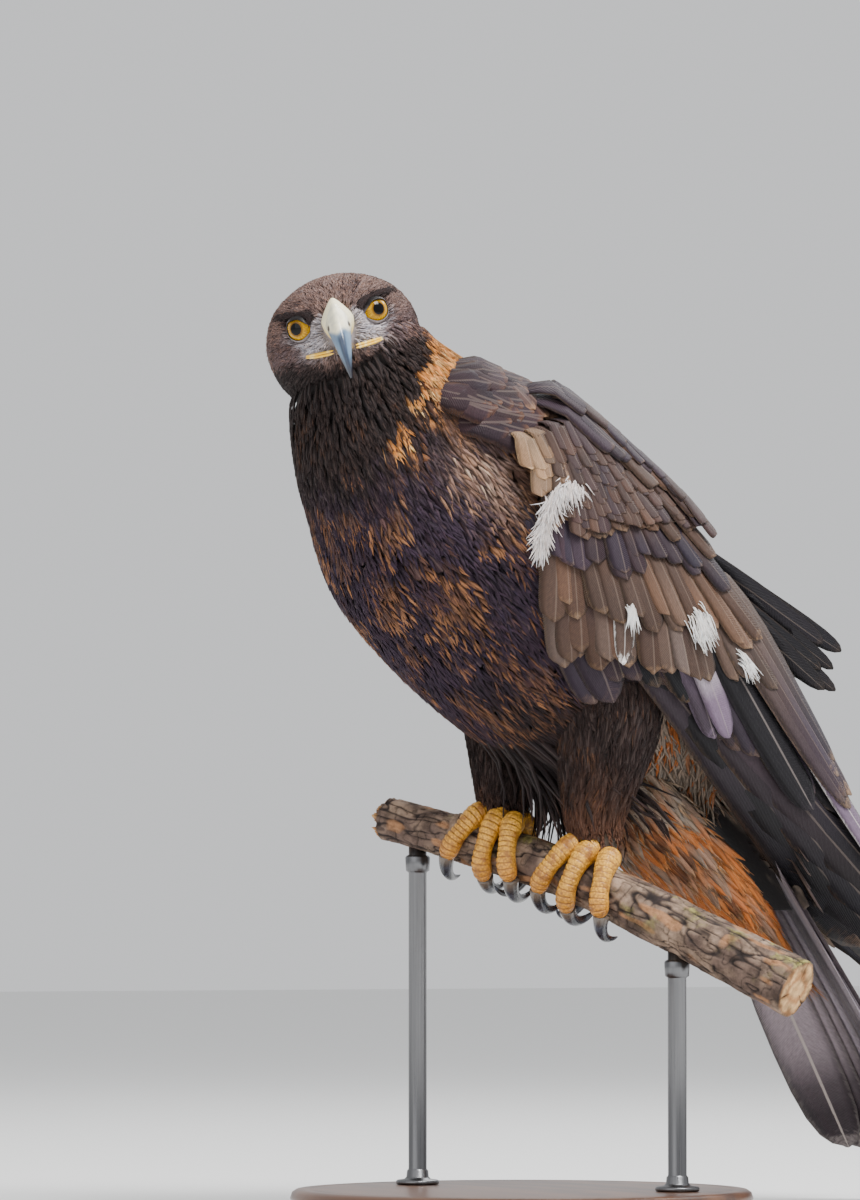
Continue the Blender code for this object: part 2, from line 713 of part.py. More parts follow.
def make_wing_vane(side, root, tip, width, over, material):
    axis = tip - root
    length = np.linalg.norm(axis)
    away = np.array((-axis[1], axis[0])) / length
    knots = [(place - root[0]) / axis[0] for place in station_places(root[0], tip[0])]
    knots = [knot for knot in knots if 0.10 < knot < 0.80]
    t = np.array((0.0, *knots, ROUNDED_FROM, 1.0))[:, None]
    on_station = np.array((False, *(True for _ in knots), False, False))[:, None]
    profile = np.interp(t, *np.array(WING_VANE_PROFILE).T)
    offset = width / 2 * profile * COLUMNS
    # A row on a station slides its outer points along the vane until they lie on the station
    t = t - np.where(on_station, away[0] * offset / axis[0], 0.0)
    along = root[0] + axis[0] * t + away[0] * offset
    height = root[1] + axis[1] * t + away[1] * offset
    rise = np.interp(t * length, (0.0, ROOT_RUN), (-ROOT_DEPTH, over))
    lift = rise - TILE_SLOPE * offset
    top = wing_shell(along, height, lift, side)
    bottom = wing_shell(along, height, lift - VANE_THICKNESS, side)
    return vane("vane", top, bottom, material)


def make_wing(name, side, lift, material):
    node = make_arm(name, side, material)
    pieces = []
    for tier, (count, roots, tips, width, over) in WING_TIERS.items():
        root_places = curve_through(roots, count)
        tip_places = curve_through(tips, count)
        if lift and tier in ("tertial", "scapular"):
            tip_places[:, 1] += np.interp(tip_places[:, 0], LIFT_RANGE, (0.0, lift))
        for root, tip in zip(root_places, tip_places):
            pieces.append(make_wing_vane(side, root, tip, width, over, material))
    join(node, pieces)
    return node


def make_tail(material):
    rings = []
    angle = np.linspace(0.0, math.tau, TAIL_CORE_SIDES, endpoint=False)
    lean = TAIL_PITCH - TRUNK_PITCH
    for place, mid, width, thick in smooth_rows(TAIL_CORE, 7):
        height = mid + thick * np.cos(angle)
        start = (GAP * 1.5 + height * math.tan(lean)) * max(1.0 - place / TAIL_CORE[1][0], 0.0)
        rings.append(tail_to_world(place + start, height, width * np.sin(angle)))
    node = loft("tail", np.array(rings), material)
    pieces = []
    for index, layer in enumerate(TAIL_LAYERS):
        rank = (index // 2 + 0.5) * (1.0 if index % 2 == 0 else -1.0)
        pieces.append(make_tail_vane(rank, TAIL_TOP_LEVEL - layer * TAIL_LAYER, material))
    join(node, pieces)
    return node


def smooth_rows(table, count):
    places = np.linspace(table[0][0], table[-1][0], count)
    return np.column_stack((places, smooth(table, places).T))


def make_tail_vane(rank, level, material):
    profile = np.array(TAIL_VANE_PROFILE)
    t = profile[:, :1]
    half = TAIL_FEATHER_WIDTH / 2 * profile[:, 1:]
    length = TAIL_LENGTH - TAIL_ROUNDING * abs(rank) ** 1.5 - TAIL_VANE_START
    spacing = TAIL_ROOT_SPACING + (TAIL_TIP_SPACING - TAIL_ROOT_SPACING) * t
    side = rank * spacing + half * COLUMNS
    along = TAIL_VANE_START + length * t + 0.0 * COLUMNS
    height = np.interp(t, (0.0, profile[1, 0]), (TAIL_ROOT_LEVEL, level))
    height = height - TAIL_CAMBER * np.abs(COLUMNS)
    top = tail_to_world(along, height, side)
    bottom = tail_to_world(along, height - VANE_THICKNESS, side)
    return vane("rectrix", top, bottom, material)


def undertail_surface(along, angle, lift):
    columns = smooth(UNDERTAIL_STATIONS, along)
    height = columns[0] + (columns[2] + lift) * np.cos(angle)
    return trunk_to_world(along, height, (columns[1] + lift) * np.sin(angle))


def make_undertail_vane(start, length, width, degrees, material):
    profile = np.array(HACKLE_PROFILE)
    t = profile[:, :1]
    along = start + length * t + 0.0 * COLUMNS
    spread = width / 2 * profile[:, 1:] * COLUMNS / UNDERTAIL_STATIONS[1][2]
    lift = UNDERTAIL_LIFT * (2.0 * np.sqrt(t) - 1.0) + 0.0 * COLUMNS
    angle = math.pi + math.radians(degrees) * (1.0 - 0.25 * t) + spread
    top = undertail_surface(along, angle, lift)
    bottom = undertail_surface(along, angle, lift - VANE_THICKNESS)
    return vane("covert", top, bottom, material)


def make_undertail(material):
    angle = np.linspace(0.0, math.tau, UNDERTAIL_SIDES, endpoint=False)
    rings = []
    for place, mid, width, thick in smooth_rows(UNDERTAIL_STATIONS, UNDERTAIL_RINGS):
        rings.append(trunk_to_world(place, mid + thick * np.cos(angle), width * np.sin(angle)))
    node = loft("undertail", np.array(rings), material)
    pieces = []
    for start, length, width, angles in UNDERTAIL_ROWS:
        for degrees in angles:
            pieces.append(make_undertail_vane(start, length, width, degrees, material))
    join(node, pieces)
    return node


def perch_place(shift):
    # Centre and radius of the branch at a distance along it in plan from its middle
    x = PERCH_MIDDLE[0] + shift * math.cos(PERCH_TURN)
    rows = np.array(PERCH_LINE)
    columns = smooth(rows, np.array([x]))
    return np.array((x, columns[0][0], columns[1][0])), columns[2][0]


def make_perch(material):
    draw = random.Random(SEED)
    rows = np.array(PERCH_LINE)
    places = np.linspace(rows[0, 0], rows[-1, 0], PERCH_RINGS)
    columns = smooth(rows, places)
    centre = np.column_stack((places, columns[0], columns[1]))
    tangent = np.gradient(centre, axis=0)
    tangent /= np.linalg.norm(tangent, axis=1)[:, None]
    level = np.cross(tangent, (0.0, 0.0, 1.0))
    level /= np.linalg.norm(level, axis=1)[:, None]
    upward = np.cross(level, tangent)
    angle = np.linspace(0.0, math.tau, PERCH_SIDES, endpoint=False)
    waves = [(draw.uniform(0.0, math.tau), order) for order in (2, 3, 5)]
    rings = []
    for index, place in enumerate(places):
        grain = sum(PERCH_RELIEF * np.cos(order * angle + phase + place * PERCH_TWIST)
                    for phase, order in waves)
        radius = columns[2][index] * (1.0 + grain)
        rings.append(centre[index] + level[index] * (radius * np.cos(angle))[:, None]
                     + upward[index] * (radius * np.sin(angle))[:, None])
    return loft("perch_branch", np.array(rings), material)


def perch_frame(shift):
    # Axis directions of the branch at a foot: forward off the branch and up from it
    ahead, _ = perch_place(shift + 0.004)
    behind, _ = perch_place(shift - 0.004)
    run = (ahead - behind) / np.linalg.norm(ahead - behind)
    forward = np.cross(run, (0.0, 0.0, -1.0))
    forward = forward / np.linalg.norm(forward)
    if forward[1] > 0.0:
        forward = -forward
    return forward, np.cross(forward, run) * (1.0 if np.cross(forward, run)[2] > 0.0 else -1.0)


def round_branch(shift, degrees, distance):
    # Point round the branch: 0 degrees is on top of it, positive angles lead forward
    centre, radius = perch_place(shift)
    forward, upward = perch_frame(shift)
    angle = math.radians(degrees)
    return centre + (radius + distance) * (upward * math.cos(angle) + forward * math.sin(angle))


def make_foot(side_name, foot_shift, mirror, skin, horn):
    nodes = []
    run = perch_place(foot_shift + 0.01)[0] - perch_place(foot_shift - 0.01)[0]
    for name, (root, tip, first, last, talon) in TOES.items():
        rows = []
        for share in np.linspace(0.0, 1.0, 6):
            shift = foot_shift + mirror * (root + (tip - root) * share)
            swell = 1.0 + TOE_SWELLING * math.sin(share * math.pi * 3.0)
            radius = (TOE_RADIUS + (TOE_TIP_RADIUS - TOE_RADIUS) * share) * swell
            point = round_branch(shift, first + (last - first) * share, radius + TOE_CLEARANCE)
            rows.append((*point, radius, radius))
        nodes.append(tube(f"toe_{name}_{side_name}", rows, run, TOE_SIDES, TOE_RINGS, skin))
        rows = []
        turn = 1.0 if last > 0.0 else -1.0
        for share in np.linspace(0.0, 1.0, 5):
            shift = foot_shift + mirror * (tip + 0.002 * share)
            bend = math.degrees(talon * share / TALON_CURVE_RADIUS)
            degrees = last + turn * (TALON_START + bend)
            radius = TALON_ROOT_RADIUS * (1.0 - share) ** 0.8 + TALON_TIP_RADIUS
            distance = TOE_TIP_RADIUS + TOE_CLEARANCE + TALON_ARCH * math.sin(share * 2.4)
            rows.append((*round_branch(shift, degrees, distance), radius, radius * 1.15))
        nodes.append(tube(f"talon_{name}_{side_name}", rows, run, TALON_SIDES, TALON_RINGS, horn))
    return nodes


def make_leg(side_name, mirror, foot_shift, slant, plumage, skin):
    centre, radius = perch_place(foot_shift)
    forward, upward = perch_frame(foot_shift)
    top = centre + upward * radius
    rows = []
    for x, y, up, width, depth in THIGH_LINE:
        back = slant * up / THIGH_LINE[0][2]
        rows.append((mirror * x, top[1] + y + back, top[2] + up, width, depth))
    thigh = tube(f"thigh_{side_name}", rows, (1.0, 0.0, 0.0), 18, 9, plumage)
    shank_rows = [
        (mirror * 0.034, top[1], top[2] + 0.045, SHANK_RADIUS, SHANK_RADIUS),
        (top[0] * 0.6 + mirror * 0.0136, top[1], top[2] + 0.024, SHANK_RADIUS, SHANK_RADIUS),
        (top[0], top[1], top[2] + 0.010, SHANK_RADIUS * 0.95, SHANK_RADIUS * 1.05),
        (top[0], top[1], top[2] + 0.0035, SHANK_RADIUS, SHANK_RADIUS * 1.2),
    ]
    shank = tube(f"shank_{side_name}", shank_rows, (1.0, 0.0, 0.0), 12, 6, plumage)
    return thigh, shank


def make_stand(material, metal):
    bpy.ops.mesh.primitive_cylinder_add(vertices=BASE_SIDES, radius=BASE_RADIUS, depth=BASE_HEIGHT,
                                        location=(0.0, 0.0, BASE_HEIGHT / 2))
    base = bpy.context.object
    base.name = "stand_base"
    base.data.name = "stand_base"
    base.data.materials.append(material)
    for owner in list(base.users_collection):
        owner.objects.unlink(base)
    bpy.data.collections[MODEL_NAME].objects.link(base)
    bevel = base.modifiers.new("edge", "BEVEL")
    bevel.width = BASE_BEVEL
    bevel.segments = 1
    bevel.limit_method = "ANGLE"
    rods = []
    for index, shift in enumerate(ROD_PLACES):
        centre, _ = perch_place(shift)
        foot = BASE_HEIGHT + GAP
        height = centre[2] - foot
        place = (centre[0], centre[1], foot + height / 2)
        bpy.ops.mesh.primitive_cylinder_add(vertices=20, radius=ROD_RADIUS, depth=height,
                                            location=place)
        rod = bpy.context.object
        rod.name = f"stand_rod_{index + 1}"
        rod.data.name = rod.name
        rod.data.materials.append(metal)
        rod.data.transform(rod.matrix_world)
        rod.matrix_world = Matrix.Identity(4)
        for owner in list(rod.users_collection):
            owner.objects.unlink(rod)
        bpy.data.collections[MODEL_NAME].objects.link(rod)
        rods.append(rod)
    return base, rods


def build_model():
    clear_scene()
    model = bpy.data.collections.new(MODEL_NAME)
    bpy.context.scene.collection.children.link(model)

    body_plumage = make_material("body_plumage", (0.060, 0.040, 0.036), 0.72)
    wing_plumage = make_material("wing_plumage", (0.115, 0.078, 0.060), 0.62)
    nape_plumage = make_material("nape_plumage", (0.420, 0.220, 0.090), 0.68)
    tail_plumage = make_material("tail_plumage", (0.190, 0.160, 0.160), 0.60)
    vent_plumage = make_material("vent_plumage", (0.300, 0.130, 0.045), 0.75)
    horn = make_material("bill_horn", (0.060, 0.075, 0.100), 0.32)
    talon_horn = make_material("talon_horn", (0.012, 0.014, 0.022), 0.30)
    cere_skin = make_material("cere_skin", (0.720, 0.600, 0.300), 0.45)
    toe_skin = make_material("toe_skin", (0.640, 0.330, 0.060), 0.50)
    eye_surface = make_material("eye_surface", (0.420, 0.220, 0.030), 0.08)
    bark = make_material("bark", (0.110, 0.085, 0.060), 0.88)
    stand_wood = make_material("stand_wood", (0.180, 0.130, 0.090), 0.55)
    rod_metal = make_material("rod_metal", (0.200, 0.200, 0.200), 0.35, 1.0)

    torso = make_torso(body_plumage)
    head = make_head(body_plumage)
    eyes = make_eyes(eye_surface)
    cere, upper, lower = make_bill(horn, cere_skin)
    clear_of(cere, head)
    clear_of(upper, head, cere)
    clear_of(lower, head, cere, upper)

    wing_left = make_wing("wing_left", 1, 0.0, wing_plumage)
    wing_right = make_wing("wing_right", -1, RIGHT_WING_LIFT, wing_plumage)
    clear_of(wing_left, torso)
    clear_of(wing_right, torso)

    neck = make_neck(nape_plumage)
    clear_of(neck, torso, head, wing_left, wing_right)

    tail = make_tail(tail_plumage)
    clear_of(tail, torso, wing_left, wing_right)
    undertail = make_undertail(vent_plumage)
    clear_of(undertail, torso, tail)

    perch = make_perch(bark)
    nodes = [torso, head, cere, upper, lower, wing_left, wing_right, neck, tail, undertail, perch]
    for name, mirror, shift, slant, wing in (("left", 1, FOOT_LEFT, 0.0, wing_left),
                                             ("right", -1, FOOT_RIGHT, RIGHT_THIGH_SLANT, wing_right)):
        thigh, shank = make_leg(name, mirror, shift, slant, body_plumage, toe_skin)
        clear_of(thigh, torso, wing, undertail)
        clear_of(shank, thigh, perch)
        done = [perch, thigh, shank]
        for piece in make_foot(name, shift, mirror, toe_skin, talon_horn):
            clear_of(piece, *done)
            done.append(piece)
        nodes.extend(done[1:])

    base, rods = make_stand(stand_wood, rod_metal)
    for rod in rods:
        clear_of(rod, perch)
    nodes.extend(rods)
    nodes.extend(eyes)
    for node in nodes:
        shade_round(node)


build_model()
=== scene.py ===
# Golden eagle on a cut length of branch over a display stand: its looks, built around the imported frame
import math
import bpy
import bmesh
import numpy as np
from mathutils import Matrix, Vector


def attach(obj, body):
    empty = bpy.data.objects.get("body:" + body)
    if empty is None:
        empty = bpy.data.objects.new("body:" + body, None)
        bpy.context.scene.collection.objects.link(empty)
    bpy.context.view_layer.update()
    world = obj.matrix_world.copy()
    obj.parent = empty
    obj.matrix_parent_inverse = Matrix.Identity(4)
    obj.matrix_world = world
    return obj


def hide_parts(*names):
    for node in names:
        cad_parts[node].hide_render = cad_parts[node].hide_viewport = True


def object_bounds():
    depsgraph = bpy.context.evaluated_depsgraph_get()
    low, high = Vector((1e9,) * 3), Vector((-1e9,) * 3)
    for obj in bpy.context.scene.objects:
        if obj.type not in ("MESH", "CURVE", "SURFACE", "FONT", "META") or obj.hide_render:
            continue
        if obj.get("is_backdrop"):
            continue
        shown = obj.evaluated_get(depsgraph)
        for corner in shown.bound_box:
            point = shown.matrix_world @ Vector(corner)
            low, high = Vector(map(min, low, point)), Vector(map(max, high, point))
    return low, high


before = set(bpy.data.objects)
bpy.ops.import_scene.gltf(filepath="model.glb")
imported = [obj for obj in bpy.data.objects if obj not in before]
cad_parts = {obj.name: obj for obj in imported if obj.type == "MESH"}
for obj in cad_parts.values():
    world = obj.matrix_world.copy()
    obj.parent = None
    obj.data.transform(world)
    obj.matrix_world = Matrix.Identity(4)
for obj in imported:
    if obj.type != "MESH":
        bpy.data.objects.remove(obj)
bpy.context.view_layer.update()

scene = bpy.context.scene
seeded = np.random.default_rng(11)
gap = 0.0003


def rgb(red, green, blue):
    # screen values 0 to 255 as linear colour
    share = np.array((red, green, blue), float) / 255.0
    return np.where(share <= 0.04045, share / 12.92, ((share + 0.055) / 1.055) ** 2.4)


def mix(a, b, share):
    share = np.asarray(share, float)[..., None]
    return np.asarray(a) * (1.0 - share) + np.asarray(b) * share


def ramp(value, low, high):
    # 0 below low, 1 above high, an S curve between
    share = np.clip((np.asarray(value, float) - low) / (high - low), 0.0, 1.0)
    return share * share * (3.0 - 2.0 * share)


def ripple(points, scale, seed):
    # soft patches between about -1 and 1: three sine waves in directions drawn from the seed
    waves = np.random.default_rng(seed)
    total = 0.0
    for number in range(4):
        direction = waves.normal(size=3)
        direction *= (0.7 + 0.3 * number) / np.linalg.norm(direction) / scale
        total = total + np.sin(points @ direction * math.tau + waves.uniform(0.0, math.tau))
    return total / 2.6


def cloud(points, scale, seed, size=24):
    # uneven noise between about -1 and 1: random values on a lattice, blended between eight corners
    lattice = np.random.default_rng(seed).uniform(-1.6, 1.6, (size, size, size))
    cell = np.asarray(points, float) / np.asarray(scale)
    low = np.floor(cell).astype(int)
    t = cell - low
    t = t * t * (3.0 - 2.0 * t)
    total = 0.0
    for corner in np.ndindex(2, 2, 2):
        near = (low + corner) % size
        weight = np.abs(1.0 - np.array(corner) - t).prod(axis=-1)
        total = total + weight * lattice[near[..., 0], near[..., 1], near[..., 2]]
    return total


def smoothRows(table, places):
    # every column of a station table at the given places, on a cubic curve through its rows
    rows = np.array(table, float)
    knots, values = rows[:, 0], rows[:, 1:]
    steps = np.diff(knots)[:, None]
    slopes = np.diff(values, axis=0) / steps
    tangents = np.vstack((slopes[:1], (slopes[1:] + slopes[:-1]) / 2.0, slopes[-1:]))
    places = np.clip(np.asarray(places, float), knots[0], knots[-1])
    cell = np.clip(np.searchsorted(knots, places) - 1, 0, len(knots) - 2)
    t = ((places - knots[cell]) / steps[cell, 0])[..., None]
    h = steps[cell]
    start = (2 * t**3 - 3 * t**2 + 1) * values[cell] + (t**3 - 2 * t**2 + t) * h * tangents[cell]
    end = (3 * t**2 - 2 * t**3) * values[cell + 1] + (t**3 - t**2) * h * tangents[cell + 1]
    return np.moveaxis(start + end, -1, 0)


def alongCurve(points, count):
    table = np.column_stack((np.linspace(0.0, 1.0, len(points)), points))
    return smoothRows(table, np.linspace(0.0, 1.0, count)).T


# ---- shape of the bird: the same stations as the solids ----

body = {
    "trunkPitch": math.radians(42.0),
    "chest": (0.0, -0.070, 0.460),
    # place along the trunk, axis height, half width, dorsal and ventral half depth
    "trunk": ((-0.130, 0.038, 0.036, 0.032, 0.040), (-0.095, 0.030, 0.051, 0.041, 0.066),
              (-0.070, 0.022, 0.060, 0.050, 0.076), (-0.043, 0.014, 0.067, 0.064, 0.082),
              (0.000, 0.004, 0.080, 0.091, 0.090), (0.045, 0.000, 0.086, 0.106, 0.090),
              (0.095, 0.000, 0.086, 0.110, 0.088), (0.145, 0.004, 0.080, 0.106, 0.084),
              (0.195, 0.012, 0.066, 0.086, 0.072), (0.262, 0.024, 0.040, 0.042, 0.040)),
    # place, axis height, half width, half depth
    "wing": ((-0.045, 0.030, 0.072, 0.064), (0.000, 0.020, 0.092, 0.092), (0.060, 0.010, 0.099, 0.110),
             (0.130, 0.008, 0.100, 0.121), (0.200, 0.014, 0.093, 0.116), (0.280, 0.026, 0.076, 0.084),
             (0.340, 0.030, 0.064, 0.064), (0.430, 0.032, 0.050, 0.042), (0.540, 0.030, 0.038, 0.026)),
    "undertail": ((0.205, -0.038, 0.0300, 0.0240), (0.250, -0.038, 0.0370, 0.0310),
                  (0.310, -0.038, 0.0340, 0.0280), (0.365, -0.039, 0.0260, 0.0180),
                  (0.415, -0.040, 0.0120, 0.0050)),
    "tailPitch": math.radians(55.0),
    "tailCore": ((0.000, 0.000, 0.0395, 0.0405), (0.035, 0.000, 0.0345, 0.0260),
                 (0.080, -0.003, 0.0330, 0.0130), (0.125, -0.005, 0.0340, 0.0060)),
    "rump": 0.262,
}
face = {
    "centre": (0.000, -0.1377, 0.5676),
    "yaw": math.radians(57.0), "roll": math.radians(14.0), "nod": math.radians(4.0),
    # place forward, axis height, half width, upper and lower half depth
    "stations": ((-0.066, -0.010, 0.010, 0.010, 0.010), (-0.058, -0.010, 0.028, 0.028, 0.028),
                 (-0.036, -0.008, 0.044, 0.042, 0.044), (-0.010, -0.006, 0.048, 0.042, 0.048),
                 (0.012, -0.005, 0.043, 0.039, 0.042), (0.030, -0.004, 0.030, 0.031, 0.030),
                 (0.0400, -0.004, 0.0200, 0.0230, 0.0190), (0.0455, -0.003, 0.0112, 0.0150, 0.0100),
                 (0.0470, -0.003, 0.0090, 0.0130, 0.0085)),
    "eye": (0.0220, 0.0275, 0.0060), "eyeTurn": math.radians(30.0), "eyeRadius": 0.0105,
}
headMatrix = (Matrix.Translation(face["centre"]) @ Matrix.Rotation(face["yaw"], 4, "Z")
              @ Matrix.Rotation(-face["roll"], 4, "Y") @ Matrix.Rotation(face["nod"], 4, "X"))
headTurn = np.array(headMatrix)[:3, :3]


def trunkPoint(along, height, side):
    along, height, side = np.broadcast_arrays(along, height, side)
    c, s = math.cos(body["trunkPitch"]), math.sin(body["trunkPitch"])
    x, y, z = body["chest"]
    return np.stack((x + side, y + along * c + height * s, z - along * s + height * c), axis=-1)


def trunkPlaces(points):
    # along, height and side of world points: the way back from trunkPoint
    x, y, z = np.moveaxis(np.asarray(points) - np.array(body["chest"]), -1, 0)
    c, s = math.cos(body["trunkPitch"]), math.sin(body["trunkPitch"])
    return y * c - z * s, y * s + z * c, x


def headPoint(side, forward, up):
    side, forward, up = np.broadcast_arrays(side, forward, up)
    local = np.stack((side, -forward, up), axis=-1)
    return local @ headTurn.T + np.array(face["centre"])


def headPlaces(points):
    local = (np.asarray(points) - np.array(face["centre"])) @ headTurn
    return local[..., 0], -local[..., 1], local[..., 2]


def trunkGround(along, angle, lift):
    # oval rings along the trunk, angle 0 on the back, grown outward by the lift
    columns = smoothRows(body["trunk"], along)
    depth = np.where(np.cos(angle) > 0.0, columns[2], columns[3]) + lift
    return trunkPoint(along, columns[0] + depth * np.cos(angle), (columns[1] + lift) * np.sin(angle))


def headGround(back, angle, lift):
    # oval rings of the head, numbered backward from the bill, angle 0 on the crown
    forward = 0.047 - back
    columns = smoothRows(face["stations"], forward)
    depth = np.where(np.cos(angle) > 0.0, columns[2] - 0.0016, columns[3]) + lift
    brow = 0.0042 * np.exp(-((np.abs(np.sin(angle)) - 0.80) / 0.13) ** 2) * (np.cos(angle) > 0.0)
    brow = brow * np.exp(-((forward - 0.024) / 0.018) ** 2)
    # hollow between the eye and the bill
    hollow = 0.0036 * np.exp(-((forward - 0.0370) / 0.0060) ** 2 - ((np.abs(np.sin(angle)) - 1.0) / 0.40) ** 2)
    grown = lift + brow - hollow
    return headPoint((columns[1] + grown) * np.sin(angle), forward, columns[0] + (depth + brow) * np.cos(angle))


def undertailGround(along, angle, lift):
    columns = smoothRows(body["undertail"], along)
    return trunkPoint(along, columns[0] + (columns[2] + lift) * np.cos(angle),
                      (columns[1] + lift) * np.sin(angle))


def wingGround(side):
    def ground(along, height, lift):
        # oval shell round the trunk, left or right half, by place along it and height on it
        mid, width, depth = smoothRows(body["wing"], along)
        share = np.clip((height - mid) / depth, -0.985, 0.985)
        out = width * np.sqrt(1.0 - share**2)
        across, upward = out / width**2, share / depth
        size = np.hypot(across, upward)
        return trunkPoint(along, height + lift * upward / size, side * (out + lift * across / size))
    return ground


tailStart = trunkPoint(body["rump"], smoothRows(body["trunk"], body["rump"])[0], 0.0)


def tailGround(along, side, lift):
    # flat plane of the tail, a little arched across
    along, side, lift = np.broadcast_arrays(along, side, lift)
    c, s = math.cos(body["tailPitch"]), math.sin(body["tailPitch"])
    height = lift - 6.0 * side**2
    return np.stack((side, tailStart[1] + along * c + height * s, tailStart[2] - along * s + height * c),
                    axis=-1)


perch = {
    "line": ((-0.109, -0.0335, 0.2570, 0.0145), (-0.050, -0.0060, 0.2410, 0.0152),
             (0.017, 0.0256, 0.2195, 0.0160), (0.090, 0.0600, 0.1860, 0.0172),
             (0.171, 0.0970, 0.1460, 0.0188)),
    "middle": (0.0, 0.0175), "turn": math.radians(25.0),
    "footLeft": 0.0346, "footRight": -0.0345,
}


def perchPlace(shift):
    x = perch["middle"][0] + np.asarray(shift, float) * math.cos(perch["turn"])
    y, z, radius = smoothRows(perch["line"], x)
    return np.stack((x, y, z), axis=-1), radius


def perchFrame(shift):
    # unit vectors off the branch at a place: forward and up
    ahead, behind = perchPlace(shift + 0.004)[0], perchPlace(shift - 0.004)[0]
    run = (ahead - behind) / np.linalg.norm(ahead - behind, axis=-1)[..., None]
    forward = np.cross(run, (0.0, 0.0, -1.0))
    forward /= np.linalg.norm(forward, axis=-1)[..., None]
    forward *= np.where(forward[..., 1:2] > 0.0, -1.0, 1.0)
    upward = np.cross(forward, run)
    return forward, upward * np.where(upward[..., 2:3] > 0.0, 1.0, -1.0)


def roundBranch(shift, degrees, distance):
    centre, radius = perchPlace(shift)
    forward, upward = perchFrame(np.asarray(shift, float))
    angle = np.radians(degrees)[..., None]
    return centre + (radius + distance)[..., None] * (upward * np.cos(angle) + forward * np.sin(angle))


legLines = {
    "thigh": ((0.044, 0.002, 0.135, 0.0300, 0.0400), (0.044, 0.003, 0.095, 0.0310, 0.0385),
              (0.038, 0.002, 0.055, 0.0240, 0.0270), (0.033, 0.000, 0.022, 0.0150, 0.0175)),
    "slant": {"left": 0.0, "right": 0.022},
    "shank": 0.0125,
}


def thighGround(name):
    mirror = 1 if name == "left" else -1
    shift = perch["footLeft"] if name == "left" else perch["footRight"]
    centre, radius = perchPlace(shift)
    top = centre + perchFrame(np.array(shift))[1] * radius
    rows = []
    for x, y, up, width, depth in legLines["thigh"]:
        back = legLines["slant"][name] * up / legLines["thigh"][0][2]
        rows.append((0.135 - up, mirror * x, top[1] + y + back, top[2] + up, width, depth))
    rows.append((0.129, top[0], top[1], top[2] + 0.006, 0.0125, 0.0140))
    rows.append((0.1335, top[0], top[1], top[2] + 0.0015, 0.0120, 0.0135))

    def ground(down, angle, lift):
        # ovals of the thigh and the feathered shank from top to toes, angle 0 at the front
        x, y, z, width, depth = smoothRows(rows, down)
        return np.stack((x + (width + lift) * np.sin(angle), y - (depth + lift) * np.cos(angle),
                         z + 0.0 * angle), axis=-1)
    return ground


# ---- mesh tools ----

def addMesh(name, points, faces, material, smooth=True):
    mesh = bpy.data.meshes.new(name)
    mesh.from_pydata(np.asarray(points).reshape(-1, 3), [], faces)
    mesh.materials.append(material)
    mesh.polygons.foreach_set("use_smooth", np.full(len(mesh.polygons), smooth))
    piece = bpy.data.objects.new(name, mesh)
    scene.collection.objects.link(piece)
    return piece


def pourMesh(name, points, quads, material, smooth=True):
    # a mesh of four-sided faces only, filled from whole arrays
    points = np.ascontiguousarray(points, np.float32).reshape(-1, 3)
    quads = np.ascontiguousarray(quads, np.int32)
    mesh = bpy.data.meshes.new(name)
    mesh.vertices.add(len(points))
    mesh.vertices.foreach_set("co", points.ravel())
    mesh.loops.add(quads.size)
    mesh.loops.foreach_set("vertex_index", quads.ravel())
    mesh.polygons.add(len(quads))
    mesh.polygons.foreach_set("loop_start", np.arange(0, quads.size, 4, dtype=np.int32))
    mesh.polygons.foreach_set("loop_total", np.full(len(quads), 4, np.int32))
    mesh.update(calc_edges=True)
    mesh.validate()
    mesh.materials.append(material)
    mesh.polygons.foreach_set("use_smooth", np.full(len(mesh.polygons), smooth))
    piece = bpy.data.objects.new(name, mesh)
    scene.collection.objects.link(piece)
    return piece


def setColour(piece, name, colours):
    # a colour with a fourth value for every point
    layer = piece.data.attributes.new(name, "FLOAT_COLOR", "POINT")
    layer.data.foreach_set("color", np.ascontiguousarray(colours, np.float32).ravel())


def setMap(piece, name, places):
    # a flat map from one place per point
    count = len(piece.data.loops)
    corner = np.empty(count, np.int32)
    piece.data.loops.foreach_get("vertex_index", corner)
    layer = piece.data.uv_layers.new(name=name)
    layer.data.foreach_set("uv", np.ascontiguousarray(places[corner], np.float32).ravel())


def points3(piece):
    place = np.empty(len(piece.data.vertices) * 3, np.float32)
    piece.data.vertices.foreach_get("co", place)
    return place.reshape(-1, 3).astype(float)


def tubeRings(centre, across, wide, high, sides, powerful=1.0):
    # rings square to a path: 'across' lies along the width, rounded like a superellipse
    tangent = np.gradient(centre, axis=0)
    tangent /= np.linalg.norm(tangent, axis=1)[:, None]
    across = across - tangent * (tangent * across).sum(axis=1)[:, None]
    across /= np.linalg.norm(across, axis=1)[:, None]
    upward = np.cross(tangent, across)
    angle = np.linspace(0.0, math.tau, sides, endpoint=False)
    c = np.sign(np.cos(angle)) * np.abs(np.cos(angle)) ** powerful
    s = np.sign(np.sin(angle)) * np.abs(np.sin(angle)) ** powerful
    return (centre[:, None] + across[:, None] * (wide[:, None] * c)[..., None]
            + upward[:, None] * (high[:, None] * s)[..., None])


def ringFaces(rings, sides, caps=True):
    row = np.arange(rings - 1)[:, None] * sides
    here = np.arange(sides)[None, :]
    there = (here + 1) % sides
    quads = np.stack((row + here, row + there, row + there + sides, row + here + sides), axis=-1)
    faces = quads.reshape(-1, 4).tolist()
    if caps:
        faces.append(list(range(sides - 1, -1, -1)))
        faces.append(list(range((rings - 1) * sides, rings * sides)))
    return faces


